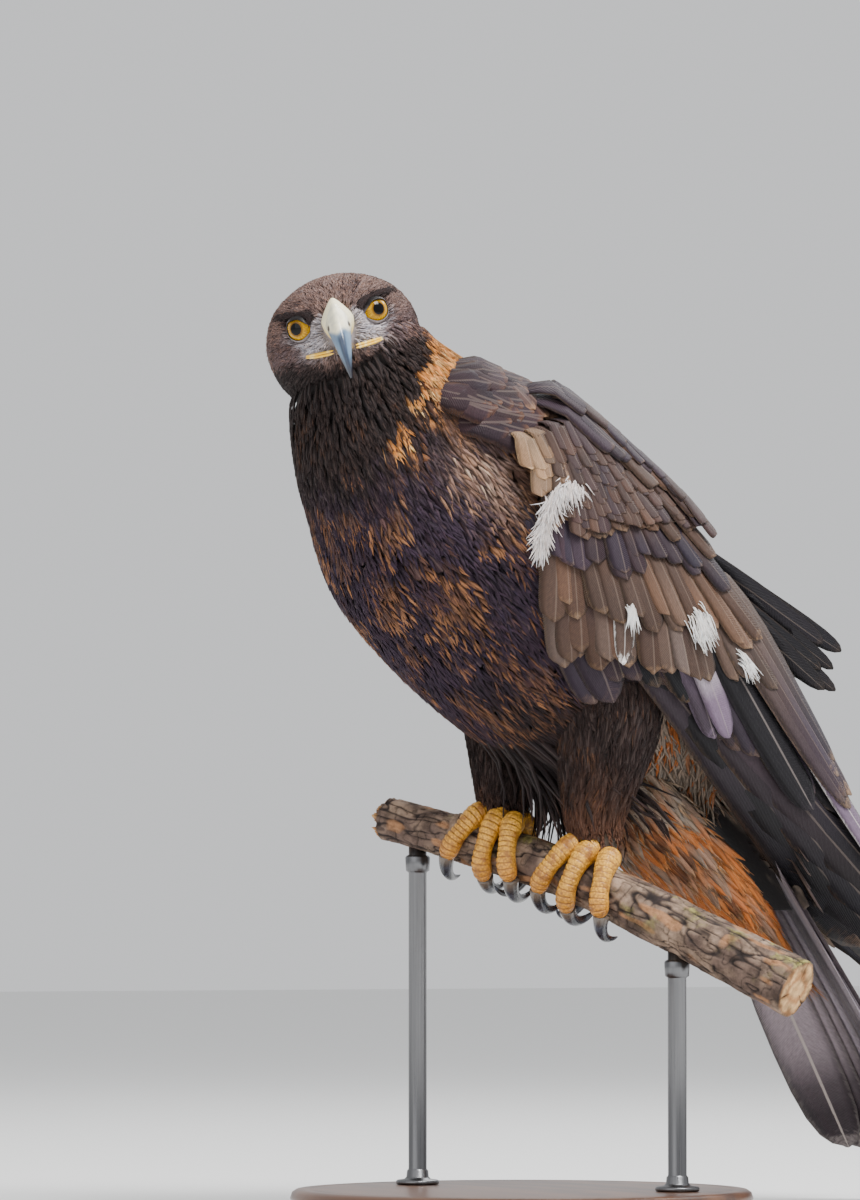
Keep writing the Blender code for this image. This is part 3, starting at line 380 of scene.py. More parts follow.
def closedLoft(name, rings, material):
    # closed skin over rings, turned so that its faces point outward
    count, sides = rings.shape[:2]
    piece = addMesh(name, rings, ringFaces(count, sides), material)
    work = bmesh.new()
    work.from_mesh(piece.data)
    bmesh.ops.recalc_face_normals(work, faces=work.faces)
    work.to_mesh(piece.data)
    work.free()
    return piece


def applied(piece):
    # the piece's mesh with its modifiers worked in
    graph = bpy.context.evaluated_depsgraph_get()
    mesh = bpy.data.meshes.new_from_object(piece.evaluated_get(graph))
    piece.modifiers.clear()
    piece.data = mesh
    return piece


def joined(name, parts):
    # one object out of many, the first one's material kept
    work = bmesh.new()
    for part in parts:
        work.from_mesh(part.data)
    mesh = bpy.data.meshes.new(name)
    work.to_mesh(mesh)
    work.free()
    mesh.materials.append(parts[0].data.materials[0])
    for part in parts:
        bpy.data.objects.remove(part, do_unlink=True)
    piece = bpy.data.objects.new(name, mesh)
    scene.collection.objects.link(piece)
    return piece


def finished(piece, slot, *nodes):
    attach(piece, "root")
    if nodes:
        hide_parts(*nodes)
    return piece


# ---- materials ----

def newMaterial(name, roughness, **values):
    material = bpy.data.materials.new(name)
    material.use_nodes = True
    tree = material.node_tree
    shader = tree.nodes["Principled BSDF"]
    shader.inputs["Roughness"].default_value = roughness
    for socket, value in values.items():
        shader.inputs[socket.replace("_", " ")].default_value = value
    return material, tree, shader


def addNode(tree, kind, **values):
    node = tree.nodes.new(kind)
    for name, value in values.items():
        setattr(node, name, value)
    return node


def maths(tree, operation, first, second=None, third=None):
    node = addNode(tree, "ShaderNodeMath", operation=operation)
    for index, value in enumerate((first, second, third)):
        if value is None:
            continue
        if isinstance(value, (int, float)):
            node.inputs[index].default_value = value
        else:
            tree.links.new(value, node.inputs[index])
    return node.outputs[0]


def blended(tree, factor, a, b, how="MIX"):
    node = addNode(tree, "ShaderNodeMix", data_type="RGBA", blend_type=how)
    for socket, value in ((node.inputs[0], factor), (node.inputs[6], a), (node.inputs[7], b)):
        if isinstance(value, (int, float)):
            socket.default_value = value
        elif isinstance(value, (tuple, list, np.ndarray)):
            socket.default_value = (*value[:3], 1.0)
        else:
            tree.links.new(value, socket)
    return node.outputs[2]


def stepped(tree, value, low, high):
    node = addNode(tree, "ShaderNodeMapRange", interpolation_type="SMOOTHSTEP")
    tree.links.new(value, node.inputs[0])
    node.inputs[1].default_value = low
    node.inputs[2].default_value = high
    return node.outputs[0]


def bumped(tree, shader, height, distance, strength=1.0):
    node = addNode(tree, "ShaderNodeBump")
    node.inputs["Strength"].default_value = strength
    node.inputs["Distance"].default_value = distance
    tree.links.new(height, node.inputs["Height"])
    tree.links.new(node.outputs[0], shader.inputs["Normal"])


def speckle(tree, scale, detail=3.0, roughness=0.5, place=None, stretch=None):
    # noise in the object's own place, stretched along an axis where asked
    node = addNode(tree, "ShaderNodeTexNoise")
    node.inputs["Scale"].default_value = scale
    node.inputs["Detail"].default_value = detail
    node.inputs["Roughness"].default_value = roughness
    if place is None:
        place = addNode(tree, "ShaderNodeTexCoord").outputs["Object"]
    if stretch is not None:
        mapping = addNode(tree, "ShaderNodeMapping")
        mapping.inputs["Scale"].default_value = stretch
        tree.links.new(place, mapping.inputs[0])
        place = mapping.outputs[0]
    tree.links.new(place, node.inputs["Vector"])
    return node.outputs[0]


def makeFeatherMaterial(name, roughness, barbs, shaft, gloss, edgeFrom=0.70):
    # plume colour with a paler rim, a shaft line and fine barbs read from the feather's own maps
    material, tree, shader = newMaterial(name, roughness, Specular_IOR_Level=gloss, Sheen_Weight=0.03,
                                         Sheen_Roughness=0.4)
    plume = addNode(tree, "ShaderNodeAttribute", attribute_name="plume")
    rim = addNode(tree, "ShaderNodeAttribute", attribute_name="rim")
    vane = addNode(tree, "ShaderNodeUVMap", uv_map="vane")
    barb = addNode(tree, "ShaderNodeUVMap", uv_map="barb")
    split = addNode(tree, "ShaderNodeSeparateXYZ")
    tree.links.new(vane.outputs[0], split.inputs[0])
    lines = addNode(tree, "ShaderNodeSeparateXYZ")
    tree.links.new(barb.outputs[0], lines.inputs[0])
    off = maths(tree, "ABSOLUTE", maths(tree, "MULTIPLY_ADD", split.outputs[0], 2.0, -1.0))
    fray = speckle(tree, 1.0, 2.0, 0.6, barb.outputs[0], (260.0, 9.0, 1.0))
    frayed = maths(tree, "MULTIPLY_ADD", fray, 0.34, -0.17)
    side = stepped(tree, maths(tree, "ADD", off, frayed), edgeFrom, 1.0)
    tip = stepped(tree, maths(tree, "ADD", split.outputs[1], maths(tree, "MULTIPLY", frayed, 0.5)),
                  edgeFrom + 0.14, 1.0)
    edge = maths(tree, "MULTIPLY", maths(tree, "MAXIMUM", side, tip), rim.outputs["Alpha"])
    colour = blended(tree, edge, plume.outputs["Color"], rim.outputs["Color"])
    wave = maths(tree, "SINE", maths(tree, "MULTIPLY_ADD", lines.outputs[0], barbs, 0.0))
    streak = speckle(tree, 1.0, 3.0, 0.6, barb.outputs[0], (420.0, 30.0, 1.0))
    shade = maths(tree, "MULTIPLY_ADD", streak, 0.9, maths(tree, "MULTIPLY_ADD", wave, 0.07, 0.55))
    tint = addNode(tree, "ShaderNodeCombineXYZ")
    for index in range(3):
        tree.links.new(shade, tint.inputs[index])
    colour = blended(tree, 1.0, colour, tint.outputs[0], "MULTIPLY")
    line = maths(tree, "SUBTRACT", 1.0, stepped(tree, off, shaft * 0.4, shaft))
    line = maths(tree, "MULTIPLY", line, plume.outputs["Alpha"])
    colour = blended(tree, line, colour, blended(tree, 0.5, rim.outputs["Color"], (0.42, 0.36, 0.32)))
    tree.links.new(colour, shader.inputs["Base Color"])
    height = maths(tree, "ADD", maths(tree, "MULTIPLY", wave, 0.35), maths(tree, "MULTIPLY", streak, 1.6))
    height = maths(tree, "ADD", height, maths(tree, "MULTIPLY", line, 1.2))
    bumped(tree, shader, height, 0.0004, 0.8)
    return material


# ---- feathers ----

# section of a feather: places across it (-1 to 1) and which face they are on
sections = {
    "slim": ((-1.0, 0.0), (0.0, 1.0), (1.0, 0.0), (0.0, -1.0)),
    "flat": ((-1.0, 0.0), (-0.5, 0.8), (0.0, 1.0), (0.5, 0.8), (1.0, 0.0), (0.5, -0.8), (0.0, -1.0),
             (-0.5, -0.8)),
}


def growFeathers(name, ground, roots, headings, lengths, widths, form, looks, material, scale=None,
                 patches=None):
    # Each feather is a grid: rows along it from root to tip, points round its thin section. A point
    # lies at root + heading * distance along + side * distance across on the ground's two parameters,
    # and the ground lifts it by the form's rise. All feathers are worked out in one array.
    t = np.array(form["rows"], float)[None, :, None]
    half = np.array(form["profile"], float)[None, :, None]
    u, s = np.array(sections[form["section"]], float).T[:, None, None, :]
    count, rows, ring = len(roots), t.shape[1], u.shape[2]
    L, W = lengths[:, None, None], widths[:, None, None]
    sway = form.get("sway", 0.0) * seeded.normal(size=(count, 1, 1))
    across = W / 2 * half * u + (sway + form.get("bend", 0.0)) * L * t**2
    along = L * (t - form.get("round", 0.0) * u**2 * t**3 * np.minimum(W / L, 1.0))
    ripples = form.get("ragged", 0.0) * seeded.normal(size=(count, 1, ring)) * t**3
    along = along + ripples * W * np.abs(u)
    cos, sin = np.cos(headings)[:, None, None], np.sin(headings)[:, None, None]
    scale = np.ones((count, 2)) if scale is None else scale
    p = roots[:, 0, None, None] + (along * cos - across * sin) * scale[:, 0, None, None]
    q = roots[:, 1, None, None] + (along * sin + across * cos) * scale[:, 1, None, None]
    rise = looks.get("rise", form["rise"])
    rise = rise[:, None, None] if isinstance(rise, np.ndarray) else rise
    depth = form["rootDepth"]
    out = -depth + (rise + depth) * np.minimum(t / form.get("up", 0.35), 1.0) ** 0.7
    curl = (form.get("curl", 0.0) * (1.0 + 0.6 * seeded.normal(size=(count, 1, 1)))) * L * t**3
    lift = (out + curl - form.get("camber", 0.10) * W / 2 * half * u**2
            - form.get("tile", 0.0) * W / 2 * half * u + s * form["thick"] / 2)
    if "extraLift" in looks:
        lift = lift + looks["extraLift"][:, None, None] * t
    points = ground(p, q, lift)
    keep = np.ones(count, bool)
    if "keep" in looks:
        keep = looks["keep"](points)
    points = points[keep]
    count = len(points)
    index = np.arange(count)[:, None, None] * (rows * ring)
    row = np.arange(rows - 1)[None, :, None] * ring
    here = np.arange(ring)[None, None, :]
    there = (here + 1) % ring
    quads = np.stack((index + row + here, index + row + here + ring, index + row + there + ring,
                      index + row + there), axis=-1).reshape(-1, 4)
    cap = np.arange(count)[:, None] * (rows * ring)
    if ring == 4:
        caps = [cap + np.array((0, 1, 2, 3)), cap + (rows - 1) * ring + np.array((3, 2, 1, 0))]
    else:
        ends = (((0, 1, 7, 7), 0), ((1, 2, 6, 7), 0), ((2, 3, 5, 6), 0), ((3, 4, 5, 5), 0))
        ends += tuple((order[::-1], (rows - 1) * ring) for order, _ in ends)
        caps = [cap + np.array(order) + end for order, end in ends]
    quads = np.concatenate([quads] + caps)
    piece = pourMesh(name, points, quads, material)
    shape = (count, rows, ring)
    t3, u3 = np.broadcast_to(t, shape), np.broadcast_to(u, shape)
    setMap(piece, "vane", np.stack((u3 * 0.5 + 0.5, t3), axis=-1).reshape(-1, 2))
    slope = (along[keep] - np.abs(across[keep]) * 0.8)
    chance = seeded.uniform(0.0, 30.0, (count, 1, 1))
    setMap(piece, "barb", np.stack((slope + 0.0 * u3, 0.2 * np.abs(u3) + chance), axis=-1).reshape(-1, 2))
    if patches is None:
        low, high = roots.min(axis=0), roots.max(axis=0)
        place = 0.02 + 0.955 * (roots[keep] - low) / np.maximum(high - low, 1e-9)
        patch = place[:, None, None] + 0.003 * np.stack((u3 * 0.5 + 0.5, t3), axis=-1)
    else:
        columns = math.ceil(math.sqrt(count * 2.0))
        deep = math.ceil(count / columns)
        number = np.arange(count)
        corner = np.stack((number % columns, number // columns), axis=-1)[:, None, None]
        patch = (corner + 0.08 + 0.84 * np.stack((u3 * 0.5 + 0.5, t3), axis=-1)) / np.array((columns, deep))
    setMap(piece, "OFBake", patch.reshape(-1, 2))
    base, tip, rim = (looks[key][keep][:, None, None] for key in ("base", "tip", "rim"))
    plume = mix(base, tip, ramp(t3, *looks.get("fade", (0.25, 0.85))))
    plume = np.concatenate((plume, np.full((*shape, 1), looks.get("shaft", 0.3))), axis=-1)
    strength = np.broadcast_to(looks["rimStrength"][keep][:, None, None, None], (*shape, 1))
    setColour(piece, "plume", plume)
    setColour(piece, "rim", np.concatenate((np.broadcast_to(rim, (*shape, 3)), strength), axis=-1))
    print(name, count, "feathers", len(piece.data.loops) // 2, "triangles")
    return piece


def groundScale(ground, roots):
    # how much of each parameter one metre on the ground is
    step = 0.001
    here = ground(roots[:, 0], roots[:, 1], 0.0)
    first = np.linalg.norm(ground(roots[:, 0] + step, roots[:, 1], 0.0) - here, axis=-1) / step
    second = np.linalg.norm(ground(roots[:, 0], roots[:, 1] + step, 0.0) - here, axis=-1) / step
    return np.stack((1.0 / np.maximum(first, 0.3), 1.0 / np.maximum(second, 0.008)), axis=-1)


def sowRings(ground, first, last, rowStep, sideStep):
    # roots in staggered rows round an oval ground, as many a row as its girth needs
    found = []
    rows = np.arange(first, last, rowStep)
    angle = np.linspace(0.0, math.tau, 61)
    for number, place in enumerate(rows):
        ring = ground(np.full(61, place), angle, 0.0)
        girth = np.linalg.norm(np.diff(ring, axis=0), axis=1).sum()
        count = max(int(girth / sideStep), 6)
        turn = (np.arange(count) + 0.5 * (number % 2)) / count * math.tau
        turn = turn + seeded.normal(size=count) * 0.22 * math.tau / count
        found.append(np.stack((place + seeded.normal(size=count) * rowStep * 0.22, turn), axis=-1))
    return np.concatenate(found)


# ---- stage, light and camera ----

print("stage")
shot = {"azimuth": 58.0, "elevation": -3.0, "distance": 4.0, "target": (0.0, -0.070, 0.396),
        "pixelsPerMetre": 1550.0, "height": 1200.0}
az, el = math.radians(shot["azimuth"]), math.radians(shot["elevation"])
toCamera = np.array((math.sin(az) * math.cos(el), -math.cos(az) * math.cos(el), math.sin(el)))
camera = bpy.data.objects.new("camera", bpy.data.cameras.new("camera"))
camera.data.sensor_fit = "VERTICAL"
camera.data.sensor_height = 36.0
camera.data.lens = 36.0 * shot["distance"] * shot["pixelsPerMetre"] / shot["height"]
camera.data.clip_end = 60.0
camera.location = np.array(shot["target"]) + toCamera * shot["distance"]
camera.rotation_euler = (math.radians(90.0 - shot["elevation"]), 0.0, az)
scene.collection.objects.link(camera)
scene.camera = camera

lights = {
    # azimuth and elevation seen from the bird, distance, size, strength
    "key": (100.0, 56.0, 2.6, 1.2, 125.0), "fill": (20.0, 20.0, 3.0, 2.6, 26.0),
    "rim": (210.0, 45.0, 2.6, 1.5, 36.0),
}
for name, (around, above, distance, size, strength) in lights.items():
    lamp = bpy.data.objects.new(name, bpy.data.lights.new(name, "AREA"))
    lamp.data.size = size
    lamp.data.energy = strength
    around, above = math.radians(around), math.radians(above)
    way = np.array((math.sin(around) * math.cos(above), -math.cos(around) * math.cos(above), math.sin(above)))
    lamp.location = np.array((0.0, 0.0, 0.35)) + way * distance
    lamp.rotation_euler = (math.radians(90.0) - above, 0.0, around)
    scene.collection.objects.link(lamp)
world = bpy.data.worlds.new("studio")
world.use_nodes = True
world.node_tree.nodes["Background"].inputs[0].default_value = (0.93, 0.94, 0.96, 1.0)
world.node_tree.nodes["Background"].inputs[1].default_value = 0.86
scene.world = world
floorLook, tree, shader = newMaterial("floorLook", 0.75)
shader.inputs["Base Color"].default_value = (0.80, 0.80, 0.79, 1.0)
bumped(tree, shader, speckle(tree, 90.0), 0.0004, 0.3)
floor = addMesh("floor", [(-12, -12, 0), (12, -12, 0), (12, 12, 0), (-12, 12, 0)], [(0, 1, 2, 3)], floorLook)
floor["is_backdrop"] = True


# ---- plumage colours ----

tone = {
    # the purple cast of breast is painted sheen over its dark brown
    "breast": rgb(44, 32, 44), "brown": rgb(72, 49, 40), "belly": rgb(32, 23, 25), "tan": rgb(146, 100, 68),
    "orange": rgb(206, 122, 50), "throat": rgb(34, 24, 23), "gold": rgb(214, 138, 66),
    "goldPale": rgb(240, 190, 130), "goldDark": rgb(104, 62, 38), "mantle": rgb(78, 58, 54),
    "mantleRim": rgb(160, 122, 92), "down": rgb(128, 113, 100), "rufous": rgb(158, 88, 36),
    "rufousDark": rgb(96, 56, 32), "thigh": rgb(42, 30, 28), "thighTip": rgb(88, 58, 43),
    "crown": rgb(116, 93, 86), "crownDark": rgb(60, 44, 43), "cheek": rgb(92, 74, 74),
    "lore": rgb(182, 174, 178), "pale": rgb(230, 214, 196), "dark": rgb(34, 27, 28),
}


def plumage(points):
    # colours of skin and coat by their place: base, tip, rim and how strong the rim shows
    along, up, side = trunkPlaces(points)
    drawn = np.stack((side * 1.3, along * 0.42, up * 1.3), axis=-1)
    patch, fine, broad = (cloud(drawn, size, seed) for size, seed in ((0.0095, 3), (0.0045, 5), (0.050, 7)))
    base = mix(tone["breast"], tone["brown"], ramp(patch + 0.4 * fine, 0.0, 1.0))
    base = mix(base, tone["belly"], ramp(along + 0.02 * broad, 0.09, 0.16))
    tip = base * 1.25
    rim = mix(tone["tan"], tone["orange"], ramp(-side + 0.2 * up + 0.01 * broad, 0.022, 0.055))
    strength = 0.95 * ramp(patch + 0.4 * fine + 0.5 * ramp(-side, 0.030, 0.065), 0.16, 0.80)
    strength = strength * (1.0 - 0.8 * ramp(along, 0.08, 0.17))
    throat = 1.0 - ramp(along + 0.012 * fine - 0.20 * np.abs(side), -0.082, -0.040)
    base, tip = mix(base, tone["throat"], throat), mix(tip, tone["throat"] * 1.3, throat)
    strength = strength * (1.0 - 0.85 * throat)
    back = ramp(up - 0.01 * fine, 0.020, 0.055) * ramp(along, -0.06, -0.01)
    base, tip = mix(base, tone["mantle"], back), mix(tip, tone["mantle"] * 1.3, back)
    rim = mix(rim, tone["mantleRim"], back)
    strength = strength * (1.0 - back) + 0.55 * back
    # the gold of the nape ends in a slanted edge behind and at the throat
    hind = np.minimum(-0.066 + 3.4 * np.maximum(up - 0.052, 0.0), -0.034) + 0.006 * fine
    nape = (1.0 - ramp(along, hind - 0.004, hind + 0.008)) * ramp(up + 2.8 * (along + 0.071) + 0.008 * fine, 0.0, 0.012)
    gold = mix(tone["gold"], tone["goldDark"], ramp(cloud(drawn, 0.0045, 9), 0.1, 0.8))
    base, tip = mix(base, gold * 0.8, nape), mix(tip, gold * 1.1, nape)
    rim = mix(rim, tone["goldPale"], nape)
    strength = strength * (1.0 - nape) + 0.7 * nape
    tanSide = np.exp(-(((along + 0.010) / 0.022) ** 2 + ((up - 0.004) / 0.016) ** 2)) * ramp(np.abs(side), 0.050, 0.068)
    tanSide = np.clip(1.4 * tanSide + 0.3 * tanSide * fine, 0.0, 1.0)
    base, tip = mix(base, rgb(126, 96, 82), tanSide), mix(tip, rgb(146, 116, 100), tanSide)
    rim = mix(rim, rgb(190, 160, 138), tanSide)
    rear = ramp(along, 0.175, 0.215) * (1.0 - ramp(up, 0.010, 0.040))
    flank = rear * ramp(np.abs(side) + 0.01 * fine, 0.012, 0.034)
    base, tip = mix(base, tone["down"], flank), mix(tip, tone["down"] * 1.15, flank)
    return base, tip, rim, np.clip(strength, 0.0, 1.0)


def varied(colours, amount):
    # each feather a little lighter or darker, and warmer or cooler, than its place
    count = len(colours)
    light = np.exp(amount * seeded.normal(size=(count, 1)))
    warm = 1.0 + 0.35 * amount * seeded.normal(size=(count, 1)) * np.array((1.0, 0.0, -1.0))
    return np.clip(colours * light * warm, 0.003, 0.95)


def reached(roots, headings, lengths, scale, share):
    # where a feather that starts at its root has got to, at a share of its length
    way = np.stack((np.cos(headings), np.sin(headings)), axis=-1)
    return roots + way * (lengths * share)[:, None] * scale


def placeLooks(ground, roots, headings, lengths, scale, amount=0.16, paint=None):
    # root colours from where a feather starts, tip colours from where it ends
    paint = paint or plumage
    base = paint(ground(*roots.T, 0.0))[0]
    tip, rim, strength = paint(ground(*reached(roots, headings, lengths, scale, 0.75).T, 0.0))[1:]
    draw = seeded.uniform(0.35, 1.25, len(roots))
    return {"base": varied(base, amount), "tip": varied(tip, amount), "rim": varied(rim, amount * 0.7),
            "rimStrength": np.clip(strength * draw, 0.0, 1.0)}


# ---- head places and colours ----

def eyePlace(side):
    x, forward, up = face["eye"]
    return headPoint(x * side, forward, up)


def eyeAxis(side):
    # unit vector that the eye looks along
    turn = face["eyeTurn"]
    return headTurn @ np.array((math.sin(turn) * side, -math.cos(turn), 0.0))


def facePlumage(points):
    # colours of the head by place on it: streaked crown, grey cheek, whitish lores, dark throat, and a painted shadow
    # line under the brow
    side, forward, up = headPlaces(points)
    drawn = np.stack((side * 1.6, forward * 0.55, up * 1.2), axis=-1)
    fine, patch = cloud(drawn, 0.0035, 9), cloud(drawn, 0.014, 8)
    base = mix(tone["crown"], tone["crownDark"], ramp(0.5 * patch + 0.8 * fine, -0.1, 0.9))
    cheek = ramp(-up, -0.012, 0.006) * ramp(np.abs(side), 0.014, 0.026)
    base = mix(base, mix(tone["cheek"], tone["crownDark"], ramp(fine, 0.0, 1.0)), cheek)
    throat = ramp(-up + 0.18 * (np.abs(side) - 0.022) + 0.15 * np.minimum(forward, 0.0) + 0.002 * fine, 0.0150, 0.0225)
    base = mix(base, tone["throat"], throat)
    lore = ramp(forward, 0.0300, 0.0370) * ramp(-np.abs(up + 0.001), -0.0125, -0.0075)
    under = 0.0
    for way in (1, -1):
        off = np.asarray(points) - eyePlace(way)
        depth = off @ eyeAxis(way)
        ring = np.sqrt(np.maximum((off**2).sum(axis=-1) - depth**2, 0.0))
        under = under + np.exp(-((ring - 0.0112) / 0.0015) ** 2) * (depth > 0.0) * ramp(-up, -0.010, -0.002)
    lips = np.exp(-(((np.abs(side) - 0.016) / 0.0095) ** 2 + ((up + 0.0118) / 0.0038) ** 2)) * (forward > 0.014)
    lore = np.clip(0.85 * lore + 0.5 * under + 0.7 * lips, 0.0, 1.0) * (1.0 - 0.85 * ramp(up, 0.0105, 0.0140))
    base = mix(base, tone["lore"] * (1.0 - 0.25 * ramp(fine, 0.0, 1.0))[..., None], lore)
    # a near-black line over the eye, under the brow ridge: painted shadow of the brow
    brow = np.exp(-(((up - 0.0140 - 0.14 * (np.abs(side) - 0.024)) / 0.0022) ** 2))
    brow = brow * ramp(np.abs(side), 0.011, 0.018) * ramp(forward, 0.000, 0.010)
    base = mix(base, tone["crownDark"] * 0.35, 0.9 * brow)
    nape = ramp(-forward + 0.005 * patch, 0.030, 0.046) * ramp(up, -0.034, -0.020)
    base = mix(base, tone["gold"] * 0.8, nape)
    rim = mix(mix(tone["crown"] * 1.8, tone["tan"], 0.4), tone["goldPale"], nape)
    rim = mix(rim, tone["lore"] * 1.15, lore)
    strength = (0.45 + 0.45 * patch) * (1.0 - throat) * (1.0 - brow) + 0.4 * nape
    return base, base * 1.3, rim, np.clip(strength, 0.0, 1.0)


# ---- skin: one closed surface under the coat ----

print("skin")
skinDepth = {"trunk": 0.0050, "head": 0.0016, "wing": 0.0100, "leg": 0.0040, "vent": 0.0070, "voxel": 0.0024}
skinLook, tree, shader = newMaterial("skinLook", 0.8)
tree.links.new(addNode(tree, "ShaderNodeAttribute", attribute_name="plume").outputs["Color"],
               shader.inputs["Base Color"])
bumped(tree, shader, speckle(tree, 420.0, stretch=(1.0, 1.0, 0.25)), 0.0006, 0.7)
rounds = np.linspace(0.0, math.tau, 56, endpoint=False)[None, :]
flesh = []
places = np.linspace(-0.126, 0.262, 60)[:, None]
flesh.append(closedLoft("fleshTrunk", trunkGround(places, rounds, -skinDepth["trunk"]), skinLook))
places = np.linspace(0.002, 0.112, 50)[:, None]
flesh.append(closedLoft("fleshHead", headGround(places, rounds, -skinDepth["head"]), skinLook))
places = np.linspace(0.206, 0.412, 24)[:, None]
flesh.append(closedLoft("fleshVent", undertailGround(places, rounds, -skinDepth["vent"] * np.minimum(
    1.0, (0.43 - places) / 0.1)), skinLook))
c55, s55 = math.cos(body["tailPitch"]), math.sin(body["tailPitch"])
rows = smoothRows(body["tailCore"], np.linspace(0.0, 0.125, 14))
places = np.linspace(-0.012, 0.125, 14)[:, None]
height = rows[0][:, None] + (rows[2][:, None] - 0.002) * np.cos(rounds)
flesh.append(closedLoft("fleshRump", np.stack((
    (rows[1][:, None] - 0.002) * np.sin(rounds), tailStart[1] + places * c55 + height * s55,
    tailStart[2] - places * s55 + height * c55), axis=-1), skinLook))
shoulder = {"centre": (0.006, 0.052, 0.048), "size": (0.046, 0.026, 0.024)}
for name, mirror in (("left", 1), ("right", -1)):
    # shoulder under the first feathers of the wing
    theta = np.linspace(0.02, math.pi - 0.02, 24)[:, None]
    (a, d, s), (long, high, wide) = shoulder["centre"], shoulder["size"]
    flesh.append(closedLoft("fleshShoulder", trunkPoint(
        a + long * np.cos(theta) + 0.0 * rounds, d + high * np.sin(theta) * np.cos(rounds),
        mirror * (s + wide * np.sin(theta) * np.sin(rounds))), skinLook))
    places = np.linspace(0.0, 0.1325, 34)[:, None]
    sink = skinDepth["leg"] * (1.0 - 0.75 * ramp(places, 0.085, 0.115))
    flesh.append(closedLoft("fleshLeg", thighGround(name)(places, rounds, -sink), skinLook))
    # upper arm, a plate that thins out to its edges
    places = np.linspace(0.004, 0.225, 26)[:, None]
    share = np.concatenate((np.linspace(0.0, 1.0, 20), np.linspace(1.0, 0.0, 20)))[None, :]
    outer = np.concatenate((np.ones(20), np.zeros(20)))[None, :]
    top = np.interp(places, (-0.03, 0.01, 0.07, 0.14, 0.20, 0.225), (0.056, 0.092, 0.106, 0.110, 0.096, 0.082))
    low = np.interp(places, (-0.03, 0.01, 0.07, 0.14, 0.20, 0.225), (0.050, 0.030, 0.014, 0.022, 0.046, 0.062))
    thick = np.sin(np.pi * np.clip(share, 0.02, 0.98)) ** 0.4
    sunk = -skinDepth["wing"] - 0.008 * (1.0 - thick * outer)
    flesh.append(closedLoft("fleshArm", wingGround(mirror)(places, top + (low - top) * share, sunk), skinLook))
skin = joined("bodySkin", flesh)
remesh = skin.modifiers.new("remesh", "REMESH")
remesh.mode = "VOXEL"
remesh.voxel_size = skinDepth["voxel"]
remesh.use_smooth_shade = True
relax = skin.modifiers.new("relax", "SMOOTH")
relax.factor = 0.6
relax.iterations = 4
applied(skin)
skin.data.materials.clear()
skin.data.materials.append(skinLook)
place = points3(skin)
base, tip, rim, strength = plumage(place)
faceShare = 1.0 - ramp(np.linalg.norm(place - np.array(face["centre"]), axis=1), 0.050, 0.062)
base = mix(base, facePlumage(place)[0], faceShare)
setColour(skin, "plume", np.column_stack((base * 0.75, np.ones(len(base)))))
finished(skin, "body_plumage", "torso", "head", "neck", "thigh_left", "thigh_right", "shank_left",
         "shank_right", "undertail")
print("skin", len(skin.data.polygons), "faces")

# ---- body feathers ----

plumeLook = makeFeatherMaterial("bodyFeather", 0.66, 5200.0, 0.10, 0.18)
wingLook = makeFeatherMaterial("wingFeather", 0.56, 4200.0, 0.07, 0.20, 0.80)
coatForms = {
    "breast": {"section": "slim", "rows": (0.0, 0.25, 0.55, 0.80, 0.93, 1.0),
               "profile": (0.45, 0.90, 1.0, 0.74, 0.42, 0.04), "rootDepth": 0.0036, "rise": 0.0012, "up": 0.55,
               "camber": 0.30, "thick": 0.0004, "round": 0.2, "curl": 0.004, "sway": 0.10},
    "face": {"section": "slim", "rows": (0.0, 0.40, 0.78, 1.0), "profile": (0.6, 1.0, 0.7, 0.08),
             "rootDepth": 0.0012, "rise": 0.0010, "camber": 0.20, "thick": 0.0004, "sway": 0.07, "curl": 0.01},
    "hackle": {"section": "slim", "rows": (0.0, 0.30, 0.60, 0.84, 1.0), "profile": (0.6, 1.0, 0.80, 0.42, 0.03),
               "rootDepth": 0.0030, "rise": 0.0026, "camber": 0.18, "thick": 0.0006, "curl": 0.02, "sway": 0.06},
}

def insideHead(points, spare):
    # points that lie under the surface of the head
    side, forward, up = headPlaces(points)
    mid, width, above, below = smoothRows(face["stations"], forward)
    depth = np.where(up > mid, above, below)
    inside = (side / (width + spare)) ** 2 + ((up - mid) / (depth + spare)) ** 2 < 1.0
    return inside & (forward > -0.064) & (forward < 0.046)


wisp = {"section": "slim", "rows": (0.0, 0.5, 1.0), "profile": (0.7, 1.0, 0.05), "rootDepth": 0.0002, "up": 0.5,
        "rise": 0.0022, "camber": 0.4, "thick": 0.0003, "curl": 0.03, "sway": 0.06}


